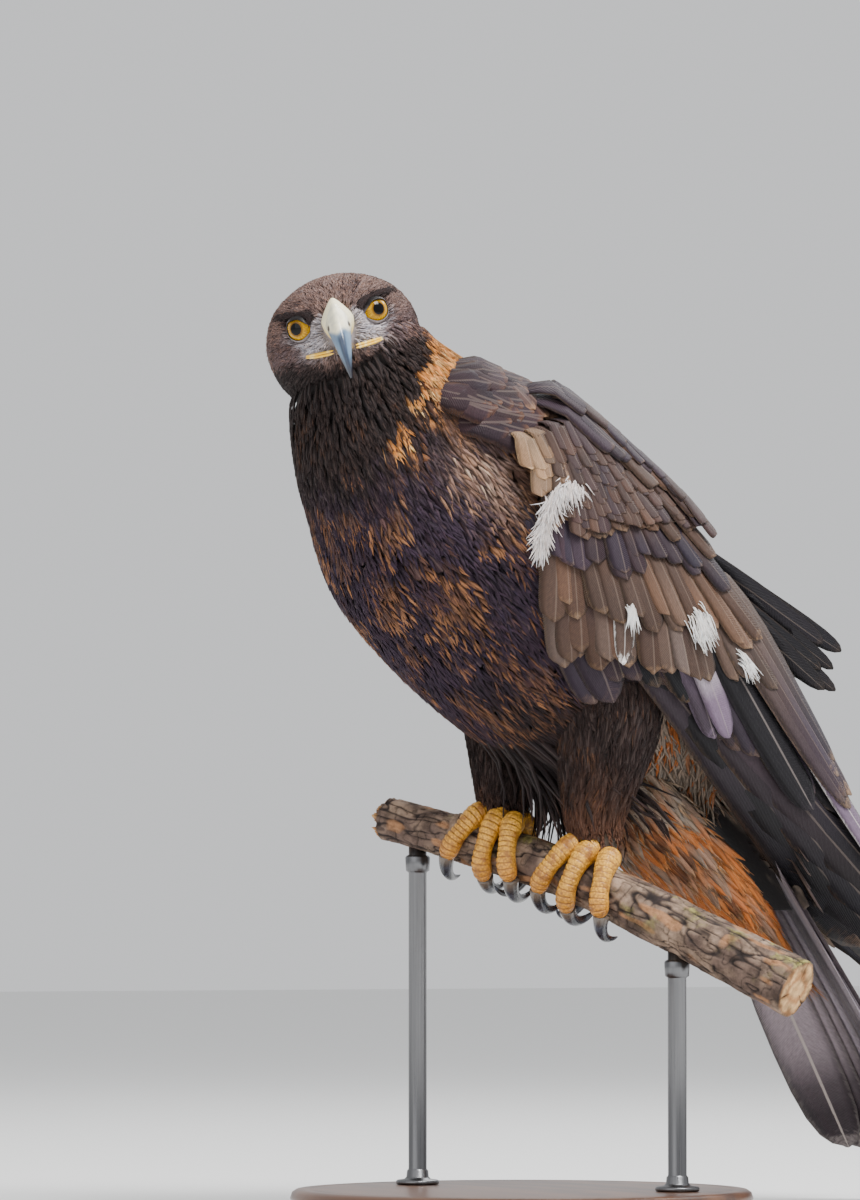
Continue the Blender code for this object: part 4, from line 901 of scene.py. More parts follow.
def frayed(name, slot, ground, roots, headings, lengths, widths, looks, scale, per, start=(0.25, 0.85),
           size=(0.30, 0.45), fan=0.30, wide=0.0012, sliver=wisp, keep=None):
    # slivers that start across each feather and fan out from its shaft, so that its end is soft
    pick = np.repeat(np.arange(len(roots)), per)
    count = len(pick)
    u, share = seeded.uniform(-1.0, 1.0, count), seeded.uniform(*start, count)
    cos, sin = np.cos(headings[pick]), np.sin(headings[pick])
    along = lengths[pick] * share
    across = widths[pick] * 0.45 * u * (1.0 - 0.6 * ramp(share, 0.5, 1.0))
    place = roots[pick] + np.stack((along * cos - across * sin, along * sin + across * cos), axis=-1) * scale[pick]
    ways = headings[pick] + fan * u + seeded.normal(size=count) * 0.06
    long = lengths[pick] * seeded.uniform(*size, count)
    edge = ramp(np.maximum(np.abs(u), share / start[1]), 0.50, 0.95)
    tint = mix(looks["tip"][pick], looks["rim"][pick], np.clip(looks["rimStrength"][pick] * edge * 1.3, 0.0, 1.0))
    light = np.exp(0.13 * seeded.normal(size=(count, 1)))
    strips = {"base": tint * light * 0.8, "tip": np.clip(tint * light * 1.15, 0.0, 0.95), "rim": tint,
              "rimStrength": np.zeros(count), "shaft": 0.0}
    wide = wide * seeded.uniform(0.7, 1.3, count)
    step = 9800
    for number, low in enumerate(range(0, count, step)):
        some = slice(low, low + step)
        chosen = {key: value[some] if isinstance(value, np.ndarray) else value for key, value in strips.items()}
        if keep:
            chosen["keep"] = keep
        piece = growFeathers(f"{name}_{number + 1}", ground, place[some], ways[some], long[some], wide[some], sliver,
                             chosen, plumeLook, scale[pick][some])
        finished(piece, slot)


def coated(name, slot, ground, roots, headings, lengths, widths, form, per, paint=None, amount=0.13, keep=None,
           **fringe):
    # a tract of feathers and the slivers that soften their ends
    scale = groundScale(ground, roots)
    looks = placeLooks(ground, roots, headings, lengths, scale, amount, paint)
    looks["shaft"] = form.get("shaft", 0.12)
    if keep:
        looks["keep"] = keep
    piece = growFeathers(name, ground, roots, headings, lengths, widths, form, looks, plumeLook, scale)
    finished(piece, slot)
    if per:
        frayed(f"{name}Fringe", slot, ground, roots, headings, lengths, widths, looks, scale, per, keep=keep, **fringe)


def sideOf(angle):
    return (angle + math.pi) % math.tau - math.pi


def neckPlumage(points):
    # the trunk's colours, and the face's within reach of the head
    share = 1.0 - ramp(np.linalg.norm(points - np.array(face["centre"]), axis=-1), 0.050, 0.064)
    return [a + (b - a) * (share[..., None] if np.ndim(a) > np.ndim(share) else share)
            for a, b in zip(plumage(points), facePlumage(points))]


print("body feathers")
roots = sowRings(trunkGround, -0.118, -0.046, 0.0046, 0.0042)
roots = roots[~insideHead(trunkGround(*roots.T, 0.0), 0.0)]
sizes = (0.0125 + 0.012 * ramp(roots[:, 0], -0.11, -0.05)) * seeded.uniform(0.85, 1.15, len(roots))
coated("neckFeathers", "body_plumage", trunkGround, roots, seeded.normal(size=len(roots)) * 0.10, sizes, sizes * 0.30,
       coatForms["breast"], 5, paint=neckPlumage, wide=0.0011, size=(0.35, 0.60), fan=0.2, sliver=dict(wisp, rise=0.0014))
roots = sowRings(trunkGround, -0.050, 0.262, 0.0105, 0.0098)
near = sideOf(roots[:, 1])
underWing = (np.abs(near) > 0.30) & (np.abs(near) < 1.50 - 0.25 * ramp(-roots[:, 0], -0.05, -0.02)) & (roots[:, 0] > 0.014)
roots = roots[~underWing]
near = sideOf(roots[:, 1])
sizes = (0.033 + 0.010 * ramp(roots[:, 0], 0.0, 0.12)) * seeded.uniform(0.85, 1.15, len(roots))
headings = seeded.normal(size=len(roots)) * 0.09 + 0.10 * np.sign(near) * np.sin(np.abs(near)) * ramp(
    roots[:, 0], -0.05, 0.05)
coated("bodyFeathers", "body_plumage", trunkGround, roots, headings, sizes, sizes * 0.56, coatForms["breast"], 12, wide=0.0023, fan=0.24)

# ---- head feathers ----

print("head feathers")


def offTheEyes(points):
    keep = np.ones(len(points), bool)
    for side in (1, -1):
        off = points - eyePlace(side)
        depth = off @ eyeAxis(side)
        radius = np.sqrt(np.maximum((off**2).sum(axis=-1) - depth**2, 0.0))
        keep &= ~((radius < 0.0094) & (depth > 0.002)).any(axis=(1, 2))
    return keep


def offTheBill(roots):
    side, forward, up = headPlaces(headGround(*roots.T, 0.0))
    return roots[~((forward > 0.034) & (np.abs(side) < 0.0080) & (up > -0.0135) & (up < 0.0120))]


roots = offTheBill(sowRings(headGround, 0.0026, 0.092, 0.0026, 0.0025))
backward = ramp(roots[:, 0], 0.0, 0.055)
sizes = (0.0046 + 0.0120 * backward) * seeded.uniform(0.8, 1.2, len(roots))
droop = 0.30 * np.sin(roots[:, 1]) * ramp(roots[:, 0], 0.01, 0.05) + seeded.normal(size=len(roots)) * 0.10
coated("headFeathers", "body_plumage", headGround, roots, droop, sizes, 0.0020 + 0.0020 * backward, coatForms["face"],
       3, paint=facePlumage, keep=offTheEyes, wide=0.0007, size=(0.5, 0.8), start=(0.1, 0.8),
       sliver=dict(wisp, rise=0.0014))
roots = offTheBill(sowRings(headGround, 0.0014, 0.046, 0.0012, 0.0013))
side, forward, up = headPlaces(headGround(*roots.T, 0.0))
roots = roots[(np.abs(up) < 0.024)]
count = len(roots)
coated("faceDown", "body_plumage", headGround, roots, seeded.normal(size=count) * 0.25,
       seeded.uniform(0.0022, 0.0036, count), seeded.uniform(0.0005, 0.0009, count),
       dict(wisp, rise=0.0012, rootDepth=0.0010, curl=0.08), 0, paint=facePlumage, keep=offTheEyes)

print("back of the head")
hind = {"reach": (0.0, 0.010, 0.028, 0.037, 0.044, 0.052, 0.070), "forward": (-0.0672, -0.0662, -0.0580, -0.0485, -0.0395, -0.0350, -0.0280),
        "middle": -0.0095, "spread": 0.042, "step": 0.0040}


def hindGround(side, height, lift):
    # back of the head, numbered across and up from its pole
    reach = np.hypot(side, height)
    forward = np.interp(reach, hind["reach"], hind["forward"])
    out = 1.0 + lift / np.maximum(np.hypot(reach, forward + 0.020), 0.01)
    return headPoint(side * out, -0.020 + (forward + 0.020) * out, hind["middle"] + height * out)


down = headTurn.T @ (trunkPoint(1.0, 0.0, 0.0) - trunkPoint(0.0, 0.0, 0.0))
steps = np.arange(-hind["spread"], hind["spread"], hind["step"])
roots = np.stack(np.meshgrid(steps, steps, indexing="ij"), axis=-1).reshape(-1, 2)
roots = roots + seeded.normal(size=roots.shape) * 0.0010
roots = roots[np.hypot(*roots.T) < hind["spread"]]
sizes = seeded.uniform(0.015, 0.020, len(roots)) + 0.012 * ramp(-roots[:, 1], 0.010, 0.034)
coated("hindHead", "nape_plumage", hindGround, roots, math.atan2(down[2], down[0]) + seeded.normal(size=len(roots)) * 0.14,
       sizes, sizes * 0.22, dict(coatForms["hackle"], rise=0.0020), 5, paint=facePlumage, amount=0.18, wide=0.0009, fan=0.2)

print("brows")
browFeathers = {"line": ((0.0110, 0.0092), (0.0166, 0.0118), (0.0253, 0.0142), (0.0350, 0.0152)), "count": 240}
for name, mirror in (("left", 1.0), ("right", -1.0)):
    # side and up on the face, carried onto the head's own rings
    track = alongCurve(browFeathers["line"], 40)
    back = np.linspace(0.006, 0.044, 400)[:, None]
    angle = np.linspace(0.0, math.pi * 0.75, 200)[None, :]
    flat = headPlaces(headGround(back, angle, 0.0))
    found = [np.unravel_index(np.argmin((flat[0] - x) ** 2 + (flat[2] - z) ** 2 + 10.0 * (flat[1] < -0.01)), flat[0].shape)
             for x, z in track]
    track = np.array([(back[i, 0], mirror * angle[0, j]) for i, j in found])
    track = np.stack([np.convolve(np.pad(column, 3, "edge"), np.ones(7) / 7.0, "valid") for column in track.T], axis=-1)
    share = seeded.uniform(0.0, 0.96, browFeathers["count"])
    roots = np.stack([np.interp(share, np.linspace(0, 1, 40), column) for column in track.T], axis=-1)
    ahead = np.stack([np.interp(share + 0.04, np.linspace(0, 1, 40), column) for column in track.T], axis=-1)
    scale = groundScale(headGround, roots)
    way = (ahead - roots) / scale
    roots = roots + seeded.normal(size=roots.shape) * 0.0008 * scale
    # feathers of the brow ridge, their near-black partly painted shade under the ridge
    looks = {"base": varied(np.tile(rgb(30, 21, 21), (len(roots), 1)), 0.15), "tip": varied(np.tile(rgb(48, 34, 33), (len(roots), 1)), 0.2),
             "rim": np.tile(rgb(84, 64, 58), (len(roots), 1)), "rimStrength": seeded.uniform(0.0, 0.5, len(roots)), "shaft": 0.0}
    piece = growFeathers(f"browFeathers_{name}", headGround, roots, np.arctan2(way[:, 1], way[:, 0]),
                         seeded.uniform(0.0035, 0.0060, len(roots)), seeded.uniform(0.0007, 0.0012, len(roots)),
                         dict(wisp, rise=0.0026, rootDepth=0.0005, curl=0.02), looks, plumeLook, scale)
    finished(piece, "body_plumage")

print("nape hackles")
roots = sowRings(trunkGround, -0.116, -0.046, 0.0050, 0.0050)
place = trunkGround(*roots.T, 0.0)
side, forward, up = headPlaces(place)
along, up, side = trunkPlaces(place)
hind = np.minimum(-0.076 + 3.4 * np.maximum(up - 0.052, 0.0), -0.050)
roots = roots[~insideHead(place, 0.001) & (along < hind) & (up + 2.8 * (along + 0.071) > 0.004) & (forward < -0.012)]
near = sideOf(roots[:, 1])
sizes = seeded.uniform(0.019, 0.028, len(roots))
coated("napeHackles", "nape_plumage", trunkGround, roots, 0.10 * np.sign(near) + seeded.normal(size=len(roots)) * 0.12,
       sizes, sizes * 0.20, coatForms["hackle"], 5, amount=0.20, wide=0.0010, fan=0.2)

# ---- wings ----

# the lilac, and the purple cast of plum and slate, is painted sheen over dark grey-brown
shades = {"ink": rgb(16, 13, 18), "plum": rgb(42, 31, 39), "slate": rgb(56, 46, 55), "umber": rgb(66, 48, 39),
          "taupe": rgb(77, 61, 53), "tan": rgb(94, 71, 57), "cream": rgb(190, 152, 114), "white": rgb(240, 234, 230),
          "lilac": rgb(110, 93, 112)}
wing = {
    # count, root curve, tip curve, width, height over the shell, shades of base and tip with the share
    # of feathers that take the second pair, rim strength
    "primary": (10, ((0.034, -0.004), (0.085, 0.018)), ((0.440, 0.004), (0.527, 0.024), (0.470, 0.040), (0.375, 0.052)),
                0.034, -0.0120, ("slate", "ink"), ("ink", "ink"), 0.5, 0.30),
    "secondary": (16, ((0.004, 0.004), (0.125, 0.078)),
                  ((0.143, -0.050), (0.153, -0.026), (0.178, 0.000), (0.232, 0.006), (0.322, 0.036)),
                  0.033, -0.0095, ("slate", "plum"), ("plum", "ink"), 0.5, 0.26),
    "tertial": (8, ((0.124, 0.066), (0.150, 0.098)), ((0.352, 0.050), (0.340, 0.060), (0.322, 0.070)),
                0.024, -0.0062, ("umber", "plum"), ("taupe", "slate"), 0.4, 0.55),
    "greaterCovert": (21, ((0.026, 0.016), (0.122, 0.082)),
                      ((0.104, -0.049), (0.120, -0.030), (0.142, -0.012), (0.174, 0.008), (0.242, 0.060)),
                      0.023, -0.0066, ("umber", "taupe"), ("plum", "umber"), 0.4, 0.40),
    "innerGreater": (18, ((0.022, 0.024), (0.112, 0.086)),
                     ((0.084, -0.028), (0.108, -0.004), (0.136, 0.020), (0.172, 0.044), (0.216, 0.074)),
                     0.0205, -0.0046, ("umber", "tan"), ("umber", "umber"), 0.5, 0.50),
    "medianCovert": (17, ((0.012, 0.032), (0.096, 0.090)),
                     ((0.052, -0.004), (0.080, 0.006), (0.098, 0.036), (0.118, 0.058), (0.166, 0.086)),
                     0.0200, -0.0026, ("umber", "plum"), ("plum", "plum"), 0.4, 0.22),
    "innerMedian": (17, ((0.004, 0.040), (0.084, 0.094)),
                    ((0.036, 0.012), (0.064, 0.026), (0.084, 0.048), (0.104, 0.070), (0.146, 0.094)),
                    0.0165, -0.0010, ("umber", "umber"), ("umber", "tan"), 0.4, 0.45),
    "scapular": (15, ((-0.016, 0.080), (0.050, 0.104), (0.122, 0.110)), ((0.046, 0.088), (0.108, 0.104), (0.138, 0.099)),
                 0.021, 0.0034, ("plum", "plum"), ("umber", "umber"), 0.4, 0.30),
    "innerScapular": (14, ((-0.022, 0.084), (0.040, 0.106), (0.100, 0.112)), ((0.018, 0.092), (0.074, 0.108), (0.128, 0.104)),
                      0.019, 0.0046, ("plum", "plum"), ("umber", "umber"), 0.3, 0.30),
    # only on the far wing, risen above the back
    "raised": (8, ((0.110, 0.104), (0.150, 0.124)), ((0.296, 0.106), (0.314, 0.114), (0.304, 0.124)),
               0.017, -0.0020, ("ink", "ink"), ("ink", "ink"), 0.4, 0.06),
}
flightForm = {"section": "flat", "rows": (0.0, 0.06, 0.14, 0.26, 0.40, 0.54, 0.68, 0.80, 0.89, 0.95, 0.985, 1.0),
              "profile": (0.30, 0.50, 0.66, 0.80, 0.92, 1.0, 1.0, 0.95, 0.84, 0.66, 0.42, 0.16),
              "rootDepth": 0.0130, "rise": 0.0, "up": 0.16, "camber": 0.06, "tile": 0.055, "thick": 0.0006,
              "round": 0.05, "ragged": 0.010, "sway": 0.004}
covertForm = {"section": "flat", "rows": (0.0, 0.15, 0.32, 0.50, 0.70, 0.84, 0.91, 0.950, 0.977, 0.993, 1.0),
              "profile": (0.40, 0.66, 0.84, 0.96, 1.0, 0.99, 0.93, 0.81, 0.61, 0.37, 0.12),
              "rootDepth": 0.0110, "rise": 0.0, "up": 0.30, "camber": 0.12, "tile": 0.085, "thick": 0.0006,
              "round": 0.10, "ragged": 0.025, "sway": 0.010, "curl": 0.006}


def layTier(name, side, tier, form, lift=0.0):
    count, rootLine, tipLine, width, over, usual, other, share, strength = wing[tier]
    first = alongCurve(rootLine, count) + seeded.normal(size=(count, 2)) * 0.0016
    last = alongCurve(tipLine, count) + seeded.normal(size=(count, 2)) * np.array((0.0060, 0.0032))
    way = last - first
    pick = ramp(seeded.uniform(size=count), 0.85 - share, 1.15 - share)
    base, tip = (mix(shades[usual[end]], shades[other[end]], pick) for end in (0, 1))
    looks = {"base": varied(base, 0.14), "tip": varied(tip, 0.20),
             "rim": varied(mix(tip, shades["cream"], 0.36 * np.ones(count)), 0.10),
             "shaft": 0.18, "rimStrength": np.clip(strength * seeded.uniform(0.4, 1.6, count), 0.0, 1.0),
             "rise": np.full(count, over) + 0.0004 * (np.arange(count) % 2) + seeded.uniform(0.0, 0.0004, count)}
    if lift:
        looks["extraLift"] = lift * seeded.uniform(0.35, 1.0, count)
    widths = width * seeded.uniform(0.88, 1.18, count)
    return growFeathers(f"{name}_{tier}", wingGround(side), first, np.arctan2(way[:, 1], way[:, 0]), np.hypot(*way.T),
                        widths, form, looks, wingLook, patches="own")


print("wings")
wrist = {"rows": 7, "across": 14, "first": ((-0.018, 0.040), (-0.002, 0.070), (0.034, 0.098)),
         "last": ((0.034, 0.034), (0.058, 0.064), (0.104, 0.100))}
for name, side, lift, node in (("wingLeft", 1, 0.0, "wing_left"), ("wingRight", -1, 0.046, "wing_right")):
    pieces = []
    for tier in ("primary", "secondary", "tertial"):
        pieces.append(layTier(name, side, tier, flightForm))
    if lift:
        pieces.append(layTier(name, side, "raised", flightForm, lift))
    for tier in ("greaterCovert", "innerGreater", "medianCovert", "innerMedian", "scapular", "innerScapular"):
        pieces.append(layTier(name, side, tier, covertForm))
    finished(pieces[0], "wing_plumage", node)
    for piece in pieces[1:]:
        finished(piece, "wing_plumage")
    # small coverts: rows of short rounded feathers over the shoulder, pale-edged near the wrist
    down, across = np.meshgrid(np.linspace(0.0, 1.0, wrist["rows"]), np.linspace(0.0, 1.0, wrist["across"]), indexing="ij")
    across = across + np.where(np.arange(wrist["rows"]) % 2, 0.5 / wrist["across"], 0.0)[:, None]
    first, last = (smoothRows(np.column_stack((np.linspace(0.0, 1.0, 3), wrist[key])), across.ravel()).T
                   for key in ("first", "last"))
    roots = first + (last - first) * down.reshape(-1, 1)
    roots = roots + seeded.normal(size=roots.shape) * 0.0014
    count, share = len(roots), across.ravel()
    ways = np.interp(share, (0.0, 0.5, 1.0), (-0.72, -0.42, -0.08)) + seeded.normal(size=count) * 0.10
    pale = ramp(-share, -0.30, -0.05) * ramp(-down.ravel(), -0.6, -0.2)
    tint = mix(shades["umber"], shades["plum"], seeded.uniform(0.0, 0.8, count))
    tint = mix(tint, shades["cream"], 0.40 * pale)
    looks = {"base": varied(tint * 0.9, 0.12), "tip": varied(tint * 1.15, 0.14), "rim": varied(mix(shades["tan"] * 1.1, shades["cream"], pale), 0.10),
             "rimStrength": np.clip(seeded.uniform(0.35, 1.0, count) + 0.4 * pale, 0.0, 1.0), "shaft": 0.25,
             "rise": 0.0012 + 0.0016 * (1.0 - down.ravel())}
    sizes = seeded.uniform(0.025, 0.032, count)
    piece = growFeathers(f"{name}_lesserCovert", wingGround(side), roots, ways, sizes, sizes * 0.52, covertForm,
                         looks, wingLook)
    finished(piece, "wing_plumage")
# single feathers that stand out on the near wing
accents = {
    # root, tip, width, shades of base, tip and rim, rim strength, shaft, height over the shell
    "whiteEdged": ((0.060, 0.060), (0.138, -0.021), 0.018, "taupe", "taupe", "white", 1.0, 0.2, -0.0050),
    # their lilac is partly painted sheen on pale grey feathers
    "lilac": ((0.100, 0.054), (0.236, 0.007), 0.023, "white", "lilac", "lilac", 0.5, 0.5, -0.0072),
    "lilacSecond": ((0.094, 0.050), (0.228, -0.002), 0.026, "lilac", "slate", "lilac", 0.6, 0.5, -0.0086),
    "darkSecondary": ((0.100, 0.060), (0.326, 0.027), 0.036, "ink", "ink", "slate", 0.3, 0.9, -0.0078),
    "greyPrimary": ((0.120, 0.074), (0.440, 0.046), 0.024, "slate", "lilac", "white", 0.6, 0.7, -0.0074),
}
rows = list(accents.values())
first, last = np.array([row[0] for row in rows]), np.array([row[1] for row in rows])
way = last - first
looks = {"base": np.array([shades[row[3]] for row in rows]), "tip": np.array([shades[row[4]] for row in rows]),
         "rim": np.array([shades[row[5]] for row in rows]), "rimStrength": np.array([row[6] for row in rows]),
         "rise": np.array([row[8] for row in rows]), "shaft": 0.5, "fade": (0.40, 0.80)}
# white bases that show between the coverts: place, spread, heading, length, count
whiteSpots = ((0.158, 0.044, 0.0042, -0.50, 0.018, 120), (0.204, 0.053, 0.0024, -0.35, 0.018, 50),
              (0.113, 0.010, 0.0018, -0.80, 0.018, 40))
piece = growFeathers("wingLeft_accent", wingGround(1), first, np.arctan2(way[:, 1], way[:, 0]), np.hypot(*way.T),
                     np.array([row[2] for row in rows]), flightForm, looks, wingLook, patches="own")
finished(piece, "wing_plumage")

# ---- tail ----

print("tail")
tail = {"length": 0.330, "start": 0.060, "width": 0.040, "rootSpacing": 0.0045, "tipSpacing": 0.0098,
        "layer": 0.0013, "rounding": 0.0016, "layers": (0, 1, 2, 3, 4, 4, 5, 5, 6, 6, 7, 7)}
order = np.arange(12)
rank = (order // 2 + 0.5) * np.where(order % 2 == 0, 1.0, -1.0)
first = np.stack((np.full(12, tail["start"]), rank * tail["rootSpacing"]), axis=-1)
last = np.stack((tail["length"] - tail["rounding"] * np.abs(rank) ** 1.5, rank * tail["tipSpacing"]), axis=-1)
way = last - first
looks = {"base": varied(np.tile(rgb(142, 130, 136), (12, 1)), 0.08), "tip": varied(np.tile(rgb(50, 42, 46), (12, 1)), 0.08),
         "rim": np.tile(rgb(176, 164, 160), (12, 1)), "rimStrength": np.full(12, 0.4), "shaft": 0.9,
         "rise": 0.0020 - np.array(tail["layers"]) * tail["layer"], "fade": (0.60, 0.86)}
form = dict(flightForm, rootDepth=0.003, tile=0.0, camber=0.03)
piece = growFeathers("tailFeathers", tailGround, first, np.arctan2(way[:, 1], way[:, 0]), np.hypot(*way.T),
                     np.full(12, tail["width"]), form, looks, wingLook, patches="own")
finished(piece, "tail_plumage", "tail")
count = 130
roots = np.stack((np.sort(seeded.uniform(-0.020, 0.085, count))[::-1], seeded.uniform(-0.032, 0.032, count)), axis=-1)
looks = {"base": varied(np.tile(rgb(80, 64, 58), (count, 1)), 0.14), "tip": varied(np.tile(rgb(56, 44, 43), (count, 1)), 0.14),
         "rim": np.tile(rgb(128, 102, 84), (count, 1)), "rimStrength": seeded.uniform(0.1, 0.7, count), "shaft": 0.2,
         "rise": 0.0060 + 0.034 * (1.0 - ramp(roots[:, 0], -0.02, 0.06))}
piece = growFeathers("upperTailCoverts", tailGround, roots, roots[:, 1] * 5.0, seeded.uniform(0.045, 0.065, count),
                     np.full(count, 0.020), covertForm, looks, wingLook)
finished(piece, "tail_plumage")

print("undertail")


def ventPlumage(points):
    # grey down near the body, rufous streaks further back, darker at the end
    along, up, side = trunkPlaces(points)
    drawn = np.stack((side * 2.4, along * 0.35, up * 2.4), axis=-1)
    fine = cloud(drawn, 0.0085, 21)
    rufous = ramp(fine + 1.3 * ramp(along, 0.225, 0.300) - 0.9, -0.30, 0.40)
    base = mix(mix(tone["down"], tone["rufousDark"] * 0.7, ramp(-fine, 0.3, 0.9)), tone["rufous"], rufous)
    base = mix(base, tone["rufousDark"], 0.7 * ramp(along, 0.335, 0.40) * ramp(-fine, -0.4, 0.3))
    rim = mix(base, tone["goldPale"], 0.35)
    return base * 0.85, base * 1.1, rim, np.full(np.shape(along), 0.6)


roots = sowRings(undertailGround, 0.208, 0.390, 0.0075, 0.0075)
roots = roots[np.cos(roots[:, 1]) < 0.35]
count = len(roots)
lengths = np.minimum(seeded.uniform(0.032, 0.050, count), 0.438 - roots[:, 0])
coated("undertailFeathers", "vent_plumage", undertailGround, roots, seeded.normal(size=count) * 0.08, lengths,
       lengths * 0.24, coatForms["hackle"], 13, paint=ventPlumage, wide=0.0013, size=(0.30, 0.55), fan=0.22)

# ---- legs ----

print("legs")


def legPlumage(points):
    # near black trousers that turn rufous towards the toes
    low = -points[..., 2] + 0.010 * cloud(points, 0.018, 31)
    base = mix(tone["thigh"], tone["thighTip"], ramp(low, -0.285, -0.240))
    return base * 0.85, base * 1.15, mix(base, tone["tan"], 0.4), ramp(cloud(points, 0.012, 32), 0.1, 0.9) * 0.6


for name in ("left", "right"):
    ground = thighGround(name)
    roots = sowRings(ground, 0.002, 0.128, 0.0052, 0.0058)
    count = len(roots)
    lowDown = ramp(roots[:, 0], 0.085, 0.12)
    sizes = (0.028 - 0.019 * lowDown) * seeded.uniform(0.85, 1.15, count)
    sizes = np.minimum(sizes, 0.136 - roots[:, 0])
    coated(f"thighFeathers_{name}", "body_plumage", ground, roots, seeded.normal(size=count) * 0.10, sizes, sizes * 0.34,
           dict(coatForms["breast"], rise=0.0016, rootDepth=0.0030), 4, paint=legPlumage)

# ---- loose feathers and down ----

print("down")
downForm = {"section": "slim", "rows": (0.0, 0.25, 0.5, 0.75, 0.92, 1.0), "profile": (0.5, 1.0, 0.9, 0.6, 0.3, 0.04),
            "rootDepth": 0.0040, "rise": 0.0040, "camber": 0.2, "thick": 0.0005, "curl": 0.10, "sway": 0.12}


def looseFeathers(name, ground, roots, headings, lengths, widths, colour, rim, form, spread=0.10, slot="body_plumage",
                  scale=None, **more):
    count = len(roots)
    looks = {"base": varied(np.tile(colour, (count, 1)), spread), "tip": varied(np.tile(colour * 1.1, (count, 1)), spread),
             "rim": np.tile(rim, (count, 1)), "rimStrength": seeded.uniform(0.3, 0.9, count), "shaft": 0.2, **more}
    piece = growFeathers(name, ground, roots, headings, lengths, widths, form, looks, plumeLook, scale)
    return finished(piece, slot)


for name, side in (("left", 1), ("right", -1)):
    # white down that streams from the wrist along the wing's front edge
    count = 460
    share = seeded.uniform(0.0, 1.0, count) ** 0.9
    line = smoothRows(((0.0, 0.034, 0.042), (0.25, 0.025, 0.034), (0.5, 0.024, 0.020), (0.75, 0.030, 0.004),
                       (1.0, 0.038, -0.008)), share).T
    roots = line + seeded.normal(size=(count, 2)) * (0.0026 - 0.0014 * share)[:, None]
    looseFeathers(f"wristDown_{name}", wingGround(side), roots, -1.05 + seeded.normal(size=count) * 0.32,
                  seeded.uniform(0.008, 0.017, count), seeded.uniform(0.0008, 0.0015, count), rgb(226, 216, 212),
                  rgb(252, 250, 248), dict(downForm, rise=0.0030))
    if side > 0:
        spots = np.repeat(np.array(whiteSpots), [row[5] for row in whiteSpots], axis=0)
        roots = spots[:, :2] + seeded.normal(size=(len(spots), 2)) * spots[:, 2:3]
        looseFeathers("whiteSpots", wingGround(1), roots, spots[:, 3] + seeded.normal(size=len(spots)) * 0.12,
                      spots[:, 4] * seeded.uniform(0.6, 1.2, len(spots)), seeded.uniform(0.0007, 0.0014, len(spots)),
                      rgb(240, 234, 230), rgb(252, 250, 248), dict(downForm, rise=-0.0014, rootDepth=0.006, curl=0.03))
    # soft grey feathers of the flank between wing, thigh and tail
    count = 760
    roots = np.stack((seeded.uniform(0.165, 0.255, count), side * seeded.uniform(1.35, 2.75, count)), axis=-1)
    place = trunkGround(roots[:, 0], roots[:, 1], 0.0)
    tint = mix(tone["down"], tone["rufous"] * 0.8, ramp(ripple(place, 0.02, 41), 0.3, 0.9))
    looks = {"base": varied(tint * 0.85, 0.14), "tip": varied(tint, 0.14), "rim": varied(tint * 1.3, 0.1),
             "rimStrength": seeded.uniform(0.2, 0.8, count), "shaft": 0.1}
    piece = growFeathers(f"flankDown_{name}", trunkGround, roots, side * 0.75 + seeded.normal(size=count) * 0.22,
                         seeded.uniform(0.030, 0.052, count), seeded.uniform(0.003, 0.006, count),
                         dict(downForm, curl=0.05), looks, plumeLook, groundScale(trunkGround, roots))
    finished(piece, "body_plumage")
    # long dark feathers that hang from the belly behind the legs
    count = 320
    roots = np.stack((seeded.uniform(0.125, 0.190, count), math.pi + side * seeded.uniform(-0.05, 0.42, count)), axis=-1)
    looseFeathers(f"bellyFringe_{name}", trunkGround, roots, seeded.normal(size=count) * 0.16,
                  seeded.uniform(0.060, 0.096, count), seeded.uniform(0.004, 0.007, count), rgb(34, 25, 26),
                  rgb(70, 48, 40), dict(downForm, rise=0.003, curl=0.36), 0.2, scale=groundScale(trunkGround, roots))
    # brown feathers that lie over the seam between back and wing
    count = 200
    roots = np.stack((seeded.uniform(-0.045, 0.150, count), side * seeded.uniform(0.20, 0.66, count)), axis=-1)
    roots = roots[np.argsort(-roots[:, 0])]
    rise = 0.0055 + 0.0060 * ramp(np.abs(roots[:, 1]), 0.40, 0.62)
    looseFeathers(f"mantleFeathers_{name}", trunkGround, roots, side * 0.42 + seeded.normal(size=count) * 0.10,
                  seeded.uniform(0.034, 0.046, count), seeded.uniform(0.013, 0.018, count), tone["mantle"] * 0.8,
                  tone["mantleRim"] * 0.8, dict(covertForm, rootDepth=0.004, tile=0.0, camber=0.3, up=0.5), 0.16,
                  scale=groundScale(trunkGround, roots), rise=rise)
    # dark shoulder feathers that lie over the wrist
    count = 64
    roots = np.stack((seeded.uniform(-0.072, -0.034, count), side * seeded.uniform(0.66, 1.58, count)), axis=-1)
    roots[44:] = np.stack((seeded.uniform(-0.046, -0.006, 20), side * seeded.uniform(0.50, 1.05, 20)), axis=-1)
    roots = roots[np.argsort(-roots[:, 0])]
    looseFeathers(f"shoulderFeathers_{name}", trunkGround, roots, -side * 0.50 + seeded.normal(size=count) * 0.10,
                  seeded.uniform(0.030, 0.046, count), seeded.uniform(0.014, 0.019, count), rgb(42, 29, 34),
                  rgb(96, 64, 46), dict(covertForm, rootDepth=0.004, rise=0.0110, tile=0.0, camber=0.3, up=0.5), 0.20,
                  scale=groundScale(trunkGround, roots))

# ---- eyes and lids ----

